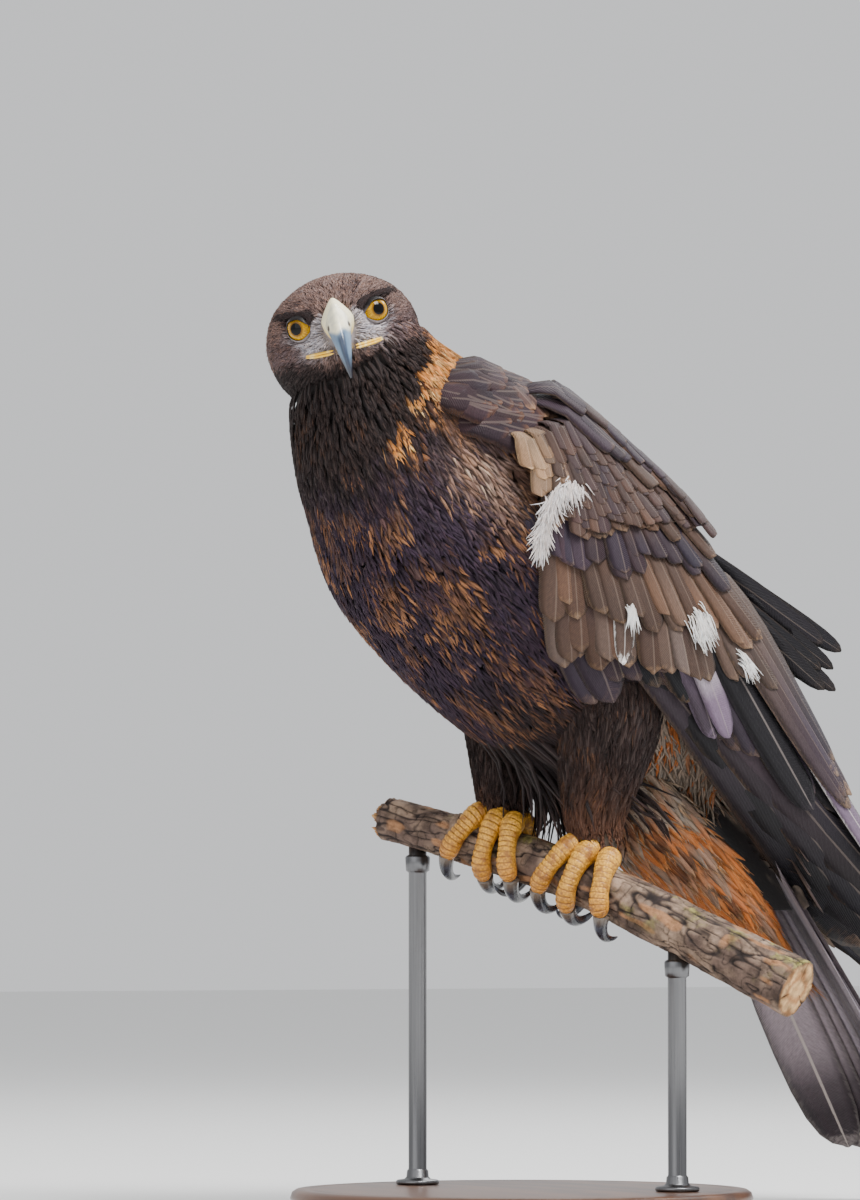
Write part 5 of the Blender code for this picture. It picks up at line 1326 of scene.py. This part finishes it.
print("eyes")
eyeLook, tree, shader = newMaterial("eyeLook", 0.08, Specular_IOR_Level=0.14, Coat_Weight=0.18, Coat_Roughness=0.02)
vane = addNode(tree, "ShaderNodeUVMap", uv_map="iris")
split = addNode(tree, "ShaderNodeSeparateXYZ")
tree.links.new(vane.outputs[0], split.inputs[0])
sideways = maths(tree, "MULTIPLY_ADD", split.outputs[0], 2.0, -1.0)
upright = maths(tree, "MULTIPLY_ADD", split.outputs[1], 2.0, -1.0)
radius = maths(tree, "SQRT", maths(tree, "ADD", maths(tree, "MULTIPLY", sideways, sideways),
                                   maths(tree, "MULTIPLY", upright, upright)))
turn = maths(tree, "ARCTAN2", upright, sideways)
rays = addNode(tree, "ShaderNodeCombineXYZ")
tree.links.new(turn, rays.inputs[0])
tree.links.new(radius, rays.inputs[1])
rays = speckle(tree, 1.0, 3.0, 0.6, rays.outputs[0], (14.0, 4.0, 1.0))
colour = blended(tree, stepped(tree, rays, 0.35, 0.65), rgb(150, 100, 2), rgb(214, 164, 6))
colour = blended(tree, stepped(tree, radius, 0.38, 0.52), rgb(112, 74, 4), colour)
colour = blended(tree, stepped(tree, radius, 0.76, 0.83), colour, rgb(40, 26, 14))
# top of the iris darkened: painted shadow of the brow
colour = blended(tree, stepped(tree, upright, 0.20, 0.75), colour, rgb(70, 46, 6))
colour = blended(tree, stepped(tree, radius, 0.345, 0.362), (0.0008, 0.0008, 0.0008), colour)
tree.links.new(colour, shader.inputs["Base Color"])
for name, side in (("left", 1), ("right", -1)):
    axis, centre = eyeAxis(side), eyePlace(side)
    upward = headTurn @ np.array((0.0, 0.0, 1.0))
    across = np.cross(upward, axis)
    upward = np.cross(axis, across)
    theta, phi = np.linspace(0.0, math.pi, 34)[:, None], np.linspace(0.0, math.tau, 48, endpoint=False)[None, :]
    swell = face["eyeRadius"] * (1.0 + 0.035 * ramp(-theta, -0.80, -0.35))
    out = np.sin(np.clip(theta, 0.012, math.pi - 0.012))
    points = (centre + (swell * out * np.cos(phi))[..., None] * across + (swell * out * np.sin(phi))[..., None] * upward
              + (swell * np.cos(theta) + 0.0 * phi)[..., None] * axis)
    piece = addMesh(f"eyeball_{name}", points, ringFaces(34, 48), eyeLook)
    reach = np.sin(theta) * np.where(theta > math.pi / 2, 0.0, 1.0) + np.where(theta > math.pi / 2, 1.0, 0.0)
    setMap(piece, "iris", np.stack((0.5 + 0.5 * reach * np.cos(phi), 0.5 + 0.5 * reach * np.sin(phi)), axis=-1).reshape(-1, 2))
    finished(piece, "eye_surface", f"eye_{name}")

skinTone, tree, shader = newMaterial("bareSkin", 0.50, Specular_IOR_Level=0.25)
tree.links.new(addNode(tree, "ShaderNodeAttribute", attribute_name="plume").outputs["Color"], shader.inputs["Base Color"])
bumped(tree, shader, speckle(tree, 900.0, 4.0), 0.0003, 0.5)
for name, side in (("left", 1), ("right", -1)):
    # lid: from the sunk outer edge over a rounded rim down to the eye, low at the top
    axis, centre = eyeAxis(side), eyePlace(side)
    upward = headTurn @ np.array((0.0, 0.0, 1.0))
    across = np.cross(upward, axis)
    upward = np.cross(axis, across)
    phi = np.linspace(0.0, math.tau, 64, endpoint=False)[None, :]
    profile = ((0.0, 1.34, -0.0034), (0.25, 1.22, 0.0000), (0.45, 1.11, 0.0012), (0.65, 1.03, 0.0013),
               (0.82, 0.99, 0.0005), (1.0, 0.98, -0.0016))
    share = np.linspace(0.0, 1.0, 18)[:, None]
    wide, high = smoothRows(profile, share)
    top = ramp(np.sin(phi) - 0.35 * side * np.cos(phi), 0.0, 0.9)
    low = ramp(-np.sin(phi), 0.0, 0.9)
    opening = 0.0090 * (1.0 - 0.36 * top * (0.55 + 0.45 * share) - 0.16 * low)
    reach = opening * wide * (1.0 + 0.06 * np.cos(phi) ** 2)
    sit = np.sqrt(np.maximum(0.0106**2 - np.minimum(reach, 0.0104) ** 2, 0.0)) + high + 0.0007 * top
    points = (centre + (reach * np.cos(phi))[..., None] * across + (reach * np.sin(phi))[..., None] * upward
              + sit[..., None] * axis)
    piece = addMesh(f"eyelid_{name}", points, ringFaces(18, 64, False), skinTone)
    # grey lid, its upper part painted near black: painted shade under the brow
    tint = mix(rgb(140, 132, 132), rgb(15, 11, 11), np.broadcast_to(top, points.shape[:2]))
    tint = mix(tint, rgb(24, 18, 18), ramp(np.broadcast_to(share, points.shape[:2]), 0.62, 0.80))
    setColour(piece, "plume", np.concatenate((tint, np.ones((*tint.shape[:2], 1))), axis=-1))
    solid = piece.modifiers.new("thick", "SOLIDIFY")
    solid.thickness = 0.0006
    solid.offset = -1.0
    applied(piece)
    finished(piece, "cere_skin")

# ---- bill, cere and gape ----

print("bill")
bill = {
    "upper": ((0.0, 0.036, 0.0045, 0.0104, 0.0138), (0.0, 0.048, 0.0050, 0.0097, 0.0133),
              (0.0, 0.060, 0.0020, 0.0085, 0.0120), (0.0, 0.070, -0.0055, 0.0068, 0.0096),
              (0.0, 0.0765, -0.0160, 0.0047, 0.0066), (0.0, 0.0785, -0.0260, 0.0025, 0.0037),
              (0.0, 0.0770, -0.0335, 0.0007, 0.0009)),
    "lower": ((0.0, 0.034, -0.0120, 0.0092, 0.0060), (0.0, 0.050, -0.0135, 0.0075, 0.0048),
              (0.0, 0.062, -0.0150, 0.0050, 0.0034), (0.0, 0.067, -0.0155, 0.0020, 0.0014)),
    "gape": ((0.0070, 0.0500, -0.0142, 0.0012, 0.0012), (0.0135, 0.0450, -0.0140, 0.0015, 0.0013),
             (0.0195, 0.0375, -0.0134, 0.0017, 0.0014), (0.0258, 0.0300, -0.0124, 0.0010, 0.0009)),
    "cereShare": 0.30, "nostril": (0.0063, 0.0660, -0.0002), "opening": 0.0009,
}
hornLook, tree, shader = newMaterial("billHorn", 0.30, Specular_IOR_Level=0.5, Coat_Weight=0.3, Coat_Roughness=0.15)
grown = blended(tree, 1.0, addNode(tree, "ShaderNodeAttribute", attribute_name="plume").outputs["Color"],
                blended(tree, stepped(tree, speckle(tree, 160.0, 4.0), 0.3, 0.7), (0.78, 0.80, 0.84), (1.1, 1.1, 1.08)),
                "MULTIPLY")
tree.links.new(grown, shader.inputs["Base Color"])
bumped(tree, shader, speckle(tree, 260.0, 4.0), 0.0003, 0.5)


def billRings(line, first, last, rings, sides, keels=(0.66, 0.46, 0.26, 0.16)):
    # ovals across a bent line in the head, a little keeled on top
    table = np.column_stack((np.linspace(0.0, 1.0, len(line)), line))
    share = np.linspace(first, last, rings)
    x, forward, up, wide, high = smoothRows(table, share)
    centre = np.stack((x, forward, up), axis=-1)
    tangent = np.gradient(centre, axis=0)
    tangent /= np.linalg.norm(tangent, axis=1)[:, None]
    upward = np.stack((np.zeros(rings), -tangent[:, 2], tangent[:, 1]), axis=-1)
    angle = np.linspace(0.0, math.tau, sides, endpoint=False)[None, :]
    strength = np.interp(share, (0.0, 0.30, 0.60, 1.0), keels)[:, None]
    keel = 1.0 - strength * np.maximum(np.cos(angle), 0.0) ** 1.3
    sideways = wide[:, None] * np.sin(angle) * keel
    local = centre[:, None] + upward[:, None] * (high[:, None] * np.cos(angle))[..., None]
    return local[..., 0] + sideways, local[..., 1], local[..., 2], share[:, None] + 0.0 * angle, angle + 0.0 * share[:, None]


def skinned(name, rings, tint, look, slot, *nodes):
    count, sides = rings.shape[:2]
    piece = closedLoft(name, rings, look)
    setColour(piece, "plume", np.concatenate((tint, np.ones((count, sides, 1))), axis=-1))
    return finished(piece, slot, *nodes)


def nostril(side, forward, up):
    x, f, z = bill["nostril"]
    return np.exp(-(((np.abs(side) - x) / 0.0013) ** 2 + ((up - z) / 0.0024) ** 2 + ((forward - f) / 0.0040) ** 2))


side, forward, up, share, angle = billRings(bill["upper"], 0.0, bill["cereShare"] + 0.015, 44, 56)
near = nostril(side, forward, up)
swell = 1.0 + 0.05 * np.sin(share * 40.0) * np.cos(angle) ** 2 + 0.05 * ramp(-share, -0.30, -0.24)
rings = headPoint(side * swell * (1.0 - 0.30 * near), forward, 0.0045 + (up - 0.0045) * swell)
# yellow cere, painted near white on top: a painted highlight
tint = mix(rgb(244, 234, 196), rgb(232, 200, 116), ramp(-np.cos(angle), -0.2, 0.9))
# nostril painted near black: painted shade in its opening
tint = mix(tint, rgb(14, 10, 8), ramp(near, 0.25, 0.45))
skinned("cereSkin", rings, tint, skinTone, "cere_skin", "cere")
side, forward, up, share, angle = billRings(bill["upper"], bill["cereShare"] - 0.02, 1.0, 70, 56)
tomium = 1.0 + 0.10 * np.exp(-((share - 0.56) / 0.07) ** 2) * ramp(-np.cos(angle), 0.2, 0.9)
rings = headPoint(side * 0.96 * tomium, forward, up)
below = -up + 0.0012 * np.sin(angle * 3.0)
tint = mix(rgb(240, 232, 200), rgb(104, 128, 152), ramp(below, 0.0010, 0.0052))
ridge = ramp(np.cos(angle), 0.72, 0.95) * ramp(below, 0.0030, 0.0080)
tint = mix(tint, rgb(34, 44, 66), 0.9 * ridge)
tint = mix(tint, rgb(26, 30, 44), ramp(below - 0.006 * np.cos(angle), 0.0120, 0.0260))
# nostril painted near black: painted shade in its opening
tint = mix(tint, rgb(14, 10, 8), ramp(nostril(side, forward, up), 0.25, 0.45))
skinned("billUpperHorn", rings, tint, hornLook, "bill_horn", "bill_upper")
side, forward, up, share, angle = billRings(bill["lower"], 0.0, 1.0, 30, 40)
tint = mix(rgb(120, 104, 84), rgb(40, 42, 50), ramp(share, 0.35, 0.75))
skinned("billLowerHorn", headPoint(side * 0.84, forward, up), tint, hornLook, "bill_horn", "bill_lower")
lips = []
for mirror in (1, -1):
    for shift in (bill["opening"], -bill["opening"]):
        line = alongCurve(bill["gape"], 40)
        ends = np.sqrt(np.clip(np.linspace(0.0, 1.0, 40) * (1.0 - np.linspace(0.0, 1.0, 40)) * 9.0, 0.02, 1.0))
        centre = headPoint(mirror * line[:, 0] * 1.03, line[:, 1], line[:, 2] + shift * (1.0 - 0.5 * np.linspace(0.0, 1.0, 40) ** 2))
        across = np.tile(headTurn @ np.array((1.0, 0.0, 0.0)), (40, 1))
        lips.append(closedLoft("lip", tubeRings(centre, across, line[:, 3] * ends * 0.8, line[:, 4] * ends * 0.62, 14), skinTone))
piece = joined("gape", lips)
place = points3(piece)
tint = mix(rgb(240, 190, 56), rgb(240, 214, 150), ramp(ripple(place, 0.006, 51), -0.2, 1.0))
setColour(piece, "plume", np.column_stack((tint, np.ones(len(tint)))))
finished(piece, "cere_skin")

# ---- feet ----

print("feet")
feet = {
    # shift of root and tip along the branch, first and last wrap degrees, talon length
    "toes": {"inner": (-0.0105, -0.024, 12.0, 128.0, 0.040), "middle": (-0.001, -0.002, 10.0, 146.0, 0.036),
             "outer": (0.0112, 0.0255, 12.0, 122.0, 0.030), "hind": (-0.004, -0.012, -14.0, -104.0, 0.046)},
    "root": 0.0074, "tip": 0.0054, "clearance": 0.0012, "swelling": 0.10, "scutes": 15,
    "talonRoot": 0.0048, "talonTip": 0.0004, "talonArch": 0.0040, "talonCurve": 0.026, "talonStart": 4.0,
}
toeSkin, tree, shader = newMaterial("toeSkin", 0.46, Specular_IOR_Level=0.5)
pebbles = addNode(tree, "ShaderNodeTexVoronoi")
pebbles.inputs["Scale"].default_value = 620.0
tree.links.new(addNode(tree, "ShaderNodeTexCoord").outputs["Object"], pebbles.inputs["Vector"])
plume = addNode(tree, "ShaderNodeAttribute", attribute_name="plume")
dirt = stepped(tree, speckle(tree, 130.0, 4.0), 0.48, 0.72)
colour = blended(tree, dirt, plume.outputs["Color"], rgb(150, 96, 36))
creased = maths(tree, "MULTIPLY", stepped(tree, pebbles.outputs["Distance"], 0.30, 0.75), 0.55)
colour = blended(tree, creased, colour, rgb(128, 80, 30))
tree.links.new(colour, shader.inputs["Base Color"])
bumped(tree, shader, maths(tree, "SUBTRACT", 1.0, pebbles.outputs["Distance"]), 0.0005, 0.8)
talonLook, tree, shader = newMaterial("talonHorn", 0.26, Specular_IOR_Level=0.55, Coat_Weight=0.35,
                                      Coat_Roughness=0.12)
streaks = speckle(tree, 90.0, 5.0, 0.6)
grown = blended(tree, stepped(tree, streaks, 0.40, 0.70), rgb(24, 25, 32), rgb(72, 76, 88))
along = addNode(tree, "ShaderNodeAttribute", attribute_name="plume")
tree.links.new(blended(tree, along.outputs["Alpha"], rgb(96, 84, 74), grown), shader.inputs["Base Color"])
bumped(tree, shader, speckle(tree, 420.0, 4.0), 0.0002, 0.5)


def branchTube(name, shift, degrees, distance, wide, high, sides, material, relief=None):
    # a tube that follows the branch's skin; the relief grows or sinks it by its own grid of shares
    centre = roundBranch(shift, degrees, distance)
    run = perchPlace(shift + 0.01)[0] - perchPlace(shift - 0.01)[0]
    tangent = np.gradient(centre, axis=0)
    tangent /= np.linalg.norm(tangent, axis=1)[:, None]
    across = run - tangent * (run * tangent).sum(axis=1)[:, None]
    across /= np.linalg.norm(across, axis=1)[:, None]
    off = np.cross(tangent, across)
    middle = perchPlace(shift)[0]
    off *= np.where(((centre - middle) * off).sum(axis=1) > 0.0, 1.0, -1.0)[:, None]
    angle = np.linspace(0.0, math.tau, sides, endpoint=False)[None, :]
    grown = np.ones((len(centre), sides)) if relief is None else relief(angle)
    rings = (centre[:, None] + across[:, None] * (wide[:, None] * np.sin(angle) * grown)[..., None]
             + off[:, None] * (high[:, None] * np.cos(angle) * grown)[..., None])
    return closedLoft(name, rings, material)


def toeRelief(share, count):
    # scutes: broad plates across the top that step down towards the tip, pads below
    def relief(angle):
        plate = (share * count) % 1.0
        step = 0.065 * (1.0 - plate) ** 0.6 * np.exp(-((plate - 0.35) / 0.55) ** 2)
        groove = 0.075 * np.exp(-(np.minimum(plate, 1.0 - plate) / 0.09) ** 2)
        top = ramp(np.cos(angle), 0.0, 0.5)
        pads = 0.10 * (np.sin(share * math.pi * 3.0) ** 2)[:, None] * ramp(-np.cos(angle), 0.1, 0.8)
        return 1.0 + (step - groove)[:, None] * top + pads * 0.3
    return relief


for side, mirror in (("left", 1.0), ("right", -1.0)):
    place = perch["footLeft"] if side == "left" else perch["footRight"]
    for name, (root, tip, first, last, talon) in feet["toes"].items():
        share = np.linspace(0.0, 1.0, 150)
        shift = place + mirror * (root + (tip - root) * share)
        swell = 1.0 + feet["swelling"] * np.sin(share * math.pi * 3.0)
        radius = (feet["root"] + (feet["tip"] - feet["root"]) * share) * swell
        taper = np.sqrt(np.clip(1.0 - ((share - 0.5) / 0.5) ** 12, 0.03, 1.0))
        grooves = toeRelief(share, feet["scutes"])
        piece = branchTube(f"toeSkin_{name}_{side}", shift, first + (last - first) * share,
                           radius + feet["clearance"] * 0.6, radius * taper, radius * taper, 30, toeSkin, grooves)
        tint = mix(rgb(224, 164, 56), rgb(206, 136, 44), np.repeat(ramp(share, 0.5, 1.0), 30))
        plate = (share * feet["scutes"]) % 1.0
        groove = np.exp(-(np.minimum(plate, 1.0 - plate) / 0.08) ** 2)
        top = ramp(np.cos(np.linspace(0.0, math.tau, 30, endpoint=False)), 0.0, 0.6)
        tint = mix(tint, rgb(112, 66, 24), (0.95 * groove[:, None] * top).ravel())
        setColour(piece, "plume", np.column_stack((tint, np.ones(len(tint)))))
        finished(piece, "toe_skin", f"toe_{name}_{side}")
        share = np.linspace(0.0, 1.0, 46)
        shift = place + mirror * (tip + 0.002 * share)
        turn = math.copysign(1.0, last)
        degrees = last + turn * (feet["talonStart"] - 6.0 + (6.0 + np.degrees(talon / feet["talonCurve"])) * share)
        radius = feet["talonRoot"] * (1.0 - share) ** 0.8 + feet["talonTip"]
        distance = feet["tip"] + feet["clearance"] + feet["talonArch"] * np.sin(share * 2.4)
        piece = branchTube(f"claw_{name}_{side}", shift, degrees, distance, radius, radius * 1.15, 20, talonLook)
        tint = np.column_stack((np.ones((46 * 20, 3)) * 0.1, np.repeat(ramp(share, 0.02, 0.22), 20)))
        setColour(piece, "plume", tint)
        finished(piece, "talon_horn", f"talon_{name}_{side}")

# ---- branch ----

print("branch")
bark = {"relief": 0.020, "twist": 14.0, "phases": (1.7, 4.4, 0.6), "rings": 420, "sides": 150, "knots": 5}
barkLook, tree, shader = newMaterial("barkLook", 0.85, Specular_IOR_Level=0.3)
plume = addNode(tree, "ShaderNodeAttribute", attribute_name="plume")
rough = speckle(tree, 95.0, 8.0, 0.65)
moss = stepped(tree, speckle(tree, 34.0, 6.0, 0.62), 0.50, 0.60)
colour = blended(tree, 1.0, plume.outputs["Color"],
                 blended(tree, stepped(tree, rough, 0.30, 0.72), (0.45, 0.42, 0.40), (1.45, 1.40, 1.34)), "MULTIPLY")
mossColour = blended(tree, stepped(tree, speckle(tree, 240.0, 5.0), 0.35, 0.65), rgb(92, 86, 44), rgb(152, 142, 84))
colour = blended(tree, maths(tree, "MULTIPLY", moss, plume.outputs["Alpha"]), colour, mossColour)
tree.links.new(colour, shader.inputs["Base Color"])
bumped(tree, shader, maths(tree, "ADD", rough, speckle(tree, 330.0, 5.0, 0.7)), 0.0012, 0.8)
places = np.linspace(perch["line"][0][0], perch["line"][-1][0], bark["rings"])
y, z, radius = smoothRows(perch["line"], places)
centre = np.stack((places, y, z), axis=-1)
tangent = np.gradient(centre, axis=0)
tangent /= np.linalg.norm(tangent, axis=1)[:, None]
level = np.cross(tangent, (0.0, 0.0, 1.0))
level /= np.linalg.norm(level, axis=1)[:, None]
upward = np.cross(level, tangent)
angle = np.linspace(0.0, math.tau, bark["sides"], endpoint=False)
swirl = sum(bark["relief"] * 0.8 * np.cos(order * angle + phase + places[:, None] * bark["twist"])
            for order, phase in zip((2, 3, 5), bark["phases"]))
unrolled = np.stack((np.broadcast_to(np.cos(angle) * 0.017, swirl.shape),
                     np.broadcast_to(np.sin(angle) * 0.017, swirl.shape),
                     np.broadcast_to(places[:, None], swirl.shape)), axis=-1)
# long ridges with furrows between, cracked across, over slow swellings; a few old knots
bent = unrolled + 0.0016 * np.stack([cloud(unrolled, 0.011, seed) for seed in (61, 62, 63)], axis=-1)
furrow = 1.0 - np.abs(cloud(bent, (0.0042, 0.0042, 0.019), 64))
cracks = 1.0 - np.abs(cloud(bent, (0.0075, 0.0075, 0.0058), 65))
grain = cloud(bent, (0.0013, 0.0013, 0.0060), 66)
relief = (0.00045 * cloud(bent, 0.012, 67) - 0.0010 * ramp(furrow, 0.72, 1.0) - 0.0006 * ramp(cracks, 0.80, 1.0)
          + 0.00022 * grain)
knots = np.random.default_rng(68)
knotShade = np.zeros(swirl.shape)
for number in range(bark["knots"]):
    around, where = knots.uniform(0.0, math.tau), knots.uniform(-0.09, 0.155)
    off = np.stack(((angle - around + math.pi) % math.tau - math.pi, angle * 0.0), axis=-1)[None, :, 0] * 0.017
    distance = np.hypot(off, (places[:, None] - where) * 0.75)
    size = knots.uniform(0.0045, 0.0075)
    relief = relief + 0.0022 * np.exp(-((distance - size) / (size * 0.45)) ** 2) - 0.0016 * np.exp(
        -(distance / (size * 0.5)) ** 2)
    knotShade = np.maximum(knotShade, np.exp(-(distance / (size * 0.8)) ** 2))
grown = radius[:, None] * (1.0 + swirl) + relief
rings = (centre[:, None] + level[:, None] * (grown * np.cos(angle))[..., None]
         + upward[:, None] * (grown * np.sin(angle))[..., None])
shade = mix(rgb(96, 80, 72), rgb(142, 122, 106), ramp(cloud(bent, 0.010, 69), -0.7, 0.7))
shade = mix(shade, rgb(46, 38, 36), np.clip(ramp(furrow, 0.70, 0.98) + 0.7 * ramp(cracks, 0.80, 1.0), 0.0, 1.0))
shade = mix(shade, rgb(150, 112, 82), ramp(cloud(bent, (0.006, 0.006, 0.016), 70), 0.55, 0.95))
shade = mix(shade, rgb(60, 46, 40), knotShade)
mossy = ramp(np.sin(angle) + 0.4 * cloud(unrolled, 0.014, 71), -0.2, 0.9) * (1.0 - ramp(furrow, 0.80, 1.0))
mossy = mossy * ramp(places, -0.085, -0.02)[:, None]
# both ends close inward in rings: torn fibres on the left, a saw cut with year rings on the right
count = 14
share = np.linspace(1.0, 0.02, count)[1:, None]
caps, capShades = [], []
for index, way in ((0, -1.0), (-1, 1.0)):
    spread = share * np.ones(bark["sides"])
    flat = np.stack((spread * np.cos(angle), spread * np.sin(angle), 0.0 * spread), axis=-1)
    if way < 0.0:
        fibre = cloud(flat, (0.10, 0.10, 1.0), 72) + 0.8 * cloud(flat, (0.28, 0.28, 1.0), 73)
        out = 0.0030 + 0.0042 * fibre * ramp(1.0 - share, 0.0, 0.25) - 0.004 * ramp(spread - 0.55 * flat[..., 0], 0.3, 1.2)
        tone3 = mix(rgb(176, 126, 78), rgb(96, 64, 44), ramp(-fibre, -0.6, 0.8))
        tone3 = mix(tone3, rgb(222, 176, 120), ramp(fibre, 0.4, 1.1))
    else:
        out = 0.0004 + 0.0003 * cloud(flat, 0.10, 74) - 0.0006 * ramp(spread, 0.93, 1.0)
        years = 0.5 + 0.5 * np.sin(spread * 70.0 + 1.5 * cloud(flat, 0.35, 75))
        split = np.exp(-((np.sin(angle * 1.5 + 0.6)) / 0.05) ** 2) * ramp(spread, 0.25, 0.5)
        out = out - 0.0012 * split
        tone3 = mix(mix(rgb(206, 170, 124), rgb(160, 116, 76), years), rgb(70, 48, 36), np.clip(split, 0.0, 1.0))
        tone3 = mix(tone3, rgb(80, 62, 52), ramp(spread, 0.90, 0.97))
    cap = (centre[index] + level[index] * (spread * grown[index] * np.cos(angle))[..., None]
           + upward[index] * (spread * grown[index] * np.sin(angle))[..., None] + tangent[index] * (way * out)[..., None])
    caps.append(cap[::-1] if way < 0.0 else cap)
    capShades.append(tone3[::-1] if way < 0.0 else tone3)
blank = np.zeros((count - 1, bark["sides"]))
rings = np.concatenate((caps[0], rings, caps[1]))
shade = np.concatenate((capShades[0], shade, capShades[1]))
mossy = np.concatenate((blank, mossy, blank))
piece = closedLoft("barkBranch", rings, barkLook)
setColour(piece, "plume", np.concatenate((shade, mossy[..., None]), axis=-1))
finished(piece, "bark", "perch_branch")

# ---- stand ----

print("stand")
stand = {"radius": 0.150, "height": 0.016, "rods": (-0.098, 0.100), "rod": 0.0060, "gap": 0.0003}
woodLook, tree, shader = newMaterial("standWood", 0.38, Specular_IOR_Level=0.5, Coat_Weight=0.25, Coat_Roughness=0.2)
place = addNode(tree, "ShaderNodeTexCoord").outputs["Object"]
bend = speckle(tree, 5.0, 2.0)
grainLines = speckle(tree, 1.0, 8.0, 0.6, place, (9.0, 260.0, 60.0))
waves = addNode(tree, "ShaderNodeTexWave", wave_type="BANDS", bands_direction="Y")
waves.inputs["Scale"].default_value = 9.0
waves.inputs["Distortion"].default_value = 7.0
waves.inputs["Detail"].default_value = 3.0
waves.inputs["Detail Scale"].default_value = 1.4
tree.links.new(place, waves.inputs["Vector"])
colour = blended(tree, waves.outputs[0], rgb(70, 44, 30), rgb(98, 64, 42))
colour = blended(tree, stepped(tree, grainLines, 0.52, 0.72), colour, rgb(48, 30, 22))
colour = blended(tree, stepped(tree, bend, 0.35, 0.75), colour, rgb(84, 54, 36))
tree.links.new(colour, shader.inputs["Base Color"])
bumped(tree, shader, grainLines, 0.0003, 0.4)
profile = ((0.004, 0.0), (0.1440, 0.0), (0.1482, 0.0008), (0.1494, 0.0030), (0.1494, 0.0060), (0.1478, 0.0068),
           (0.1478, 0.0076), (0.1496, 0.0084), (0.1500, 0.0105), (0.1488, 0.0140), (0.1462, 0.0157), (0.1420, 0.0160),
           (0.1385, 0.0158), (0.1375, 0.0154), (0.1362, 0.0158), (0.1330, 0.0160), (0.004, 0.0160))
turn = np.linspace(0.0, math.tau, 200, endpoint=False)


def turned(name, profile, centre, material):
    # a profile of radius and height carried round an upright axis, closed at both ends
    radius, height = np.array(profile).T[:, :, None]
    rings = np.stack((centre[0] + radius * np.cos(turn), centre[1] + radius * np.sin(turn),
                      centre[2] + height + 0.0 * turn), axis=-1)
    return closedLoft(name, rings, material)


finished(turned("turnedBase", profile, (0.0, 0.0, 0.0), woodLook), "stand_wood", "stand_base")
metalLook, tree, shader = newMaterial("rodMetal", 0.30, Metallic=1.0, Anisotropic=0.5)
brushed = speckle(tree, 1.0, 3.0, 0.6, addNode(tree, "ShaderNodeTexCoord").outputs["Object"], (900.0, 900.0, 14.0))
tree.links.new(blended(tree, brushed, (0.10, 0.10, 0.105), (0.20, 0.20, 0.205)), shader.inputs["Base Color"])
tree.links.new(maths(tree, "MULTIPLY_ADD", brushed, 0.22, 0.20), shader.inputs["Roughness"])
bumped(tree, shader, brushed, 0.0001, 0.5)
for number, shift in enumerate(stand["rods"]):
    centre, radius = perchPlace(shift)
    foot = stand["height"] + stand["gap"]
    top = float(centre[2]) - 0.002
    low = float(centre[2] - radius) - 0.004
    rod = stand["rod"]
    profile = ((0.0010, 0.0), (0.0135, 0.0), (0.0142, 0.0006), (0.0142, 0.0022), (0.0132, 0.0030), (0.0088, 0.0036),
               (0.0074, 0.0050), (0.0070, 0.0090), (rod + 0.0002, 0.0098), (rod, 0.0104), (rod, 0.060),
               (rod, low - foot - 0.012), (rod + 0.0004, low - foot - 0.0115), (0.0078, low - foot - 0.0105),
               (0.0082, low - foot - 0.0020), (0.0076, low - foot - 0.0008), (rod, low - foot),
               (rod - 0.0004, top - foot), (0.0010, top - foot))
    piece = turned(f"steelRod_{number + 1}", profile, (centre[0], centre[1], foot), metalLook)
    finished(piece, "rod_metal", f"stand_rod_{number + 1}")

# ---- bounds of everything shown but the floor ----

low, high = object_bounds()
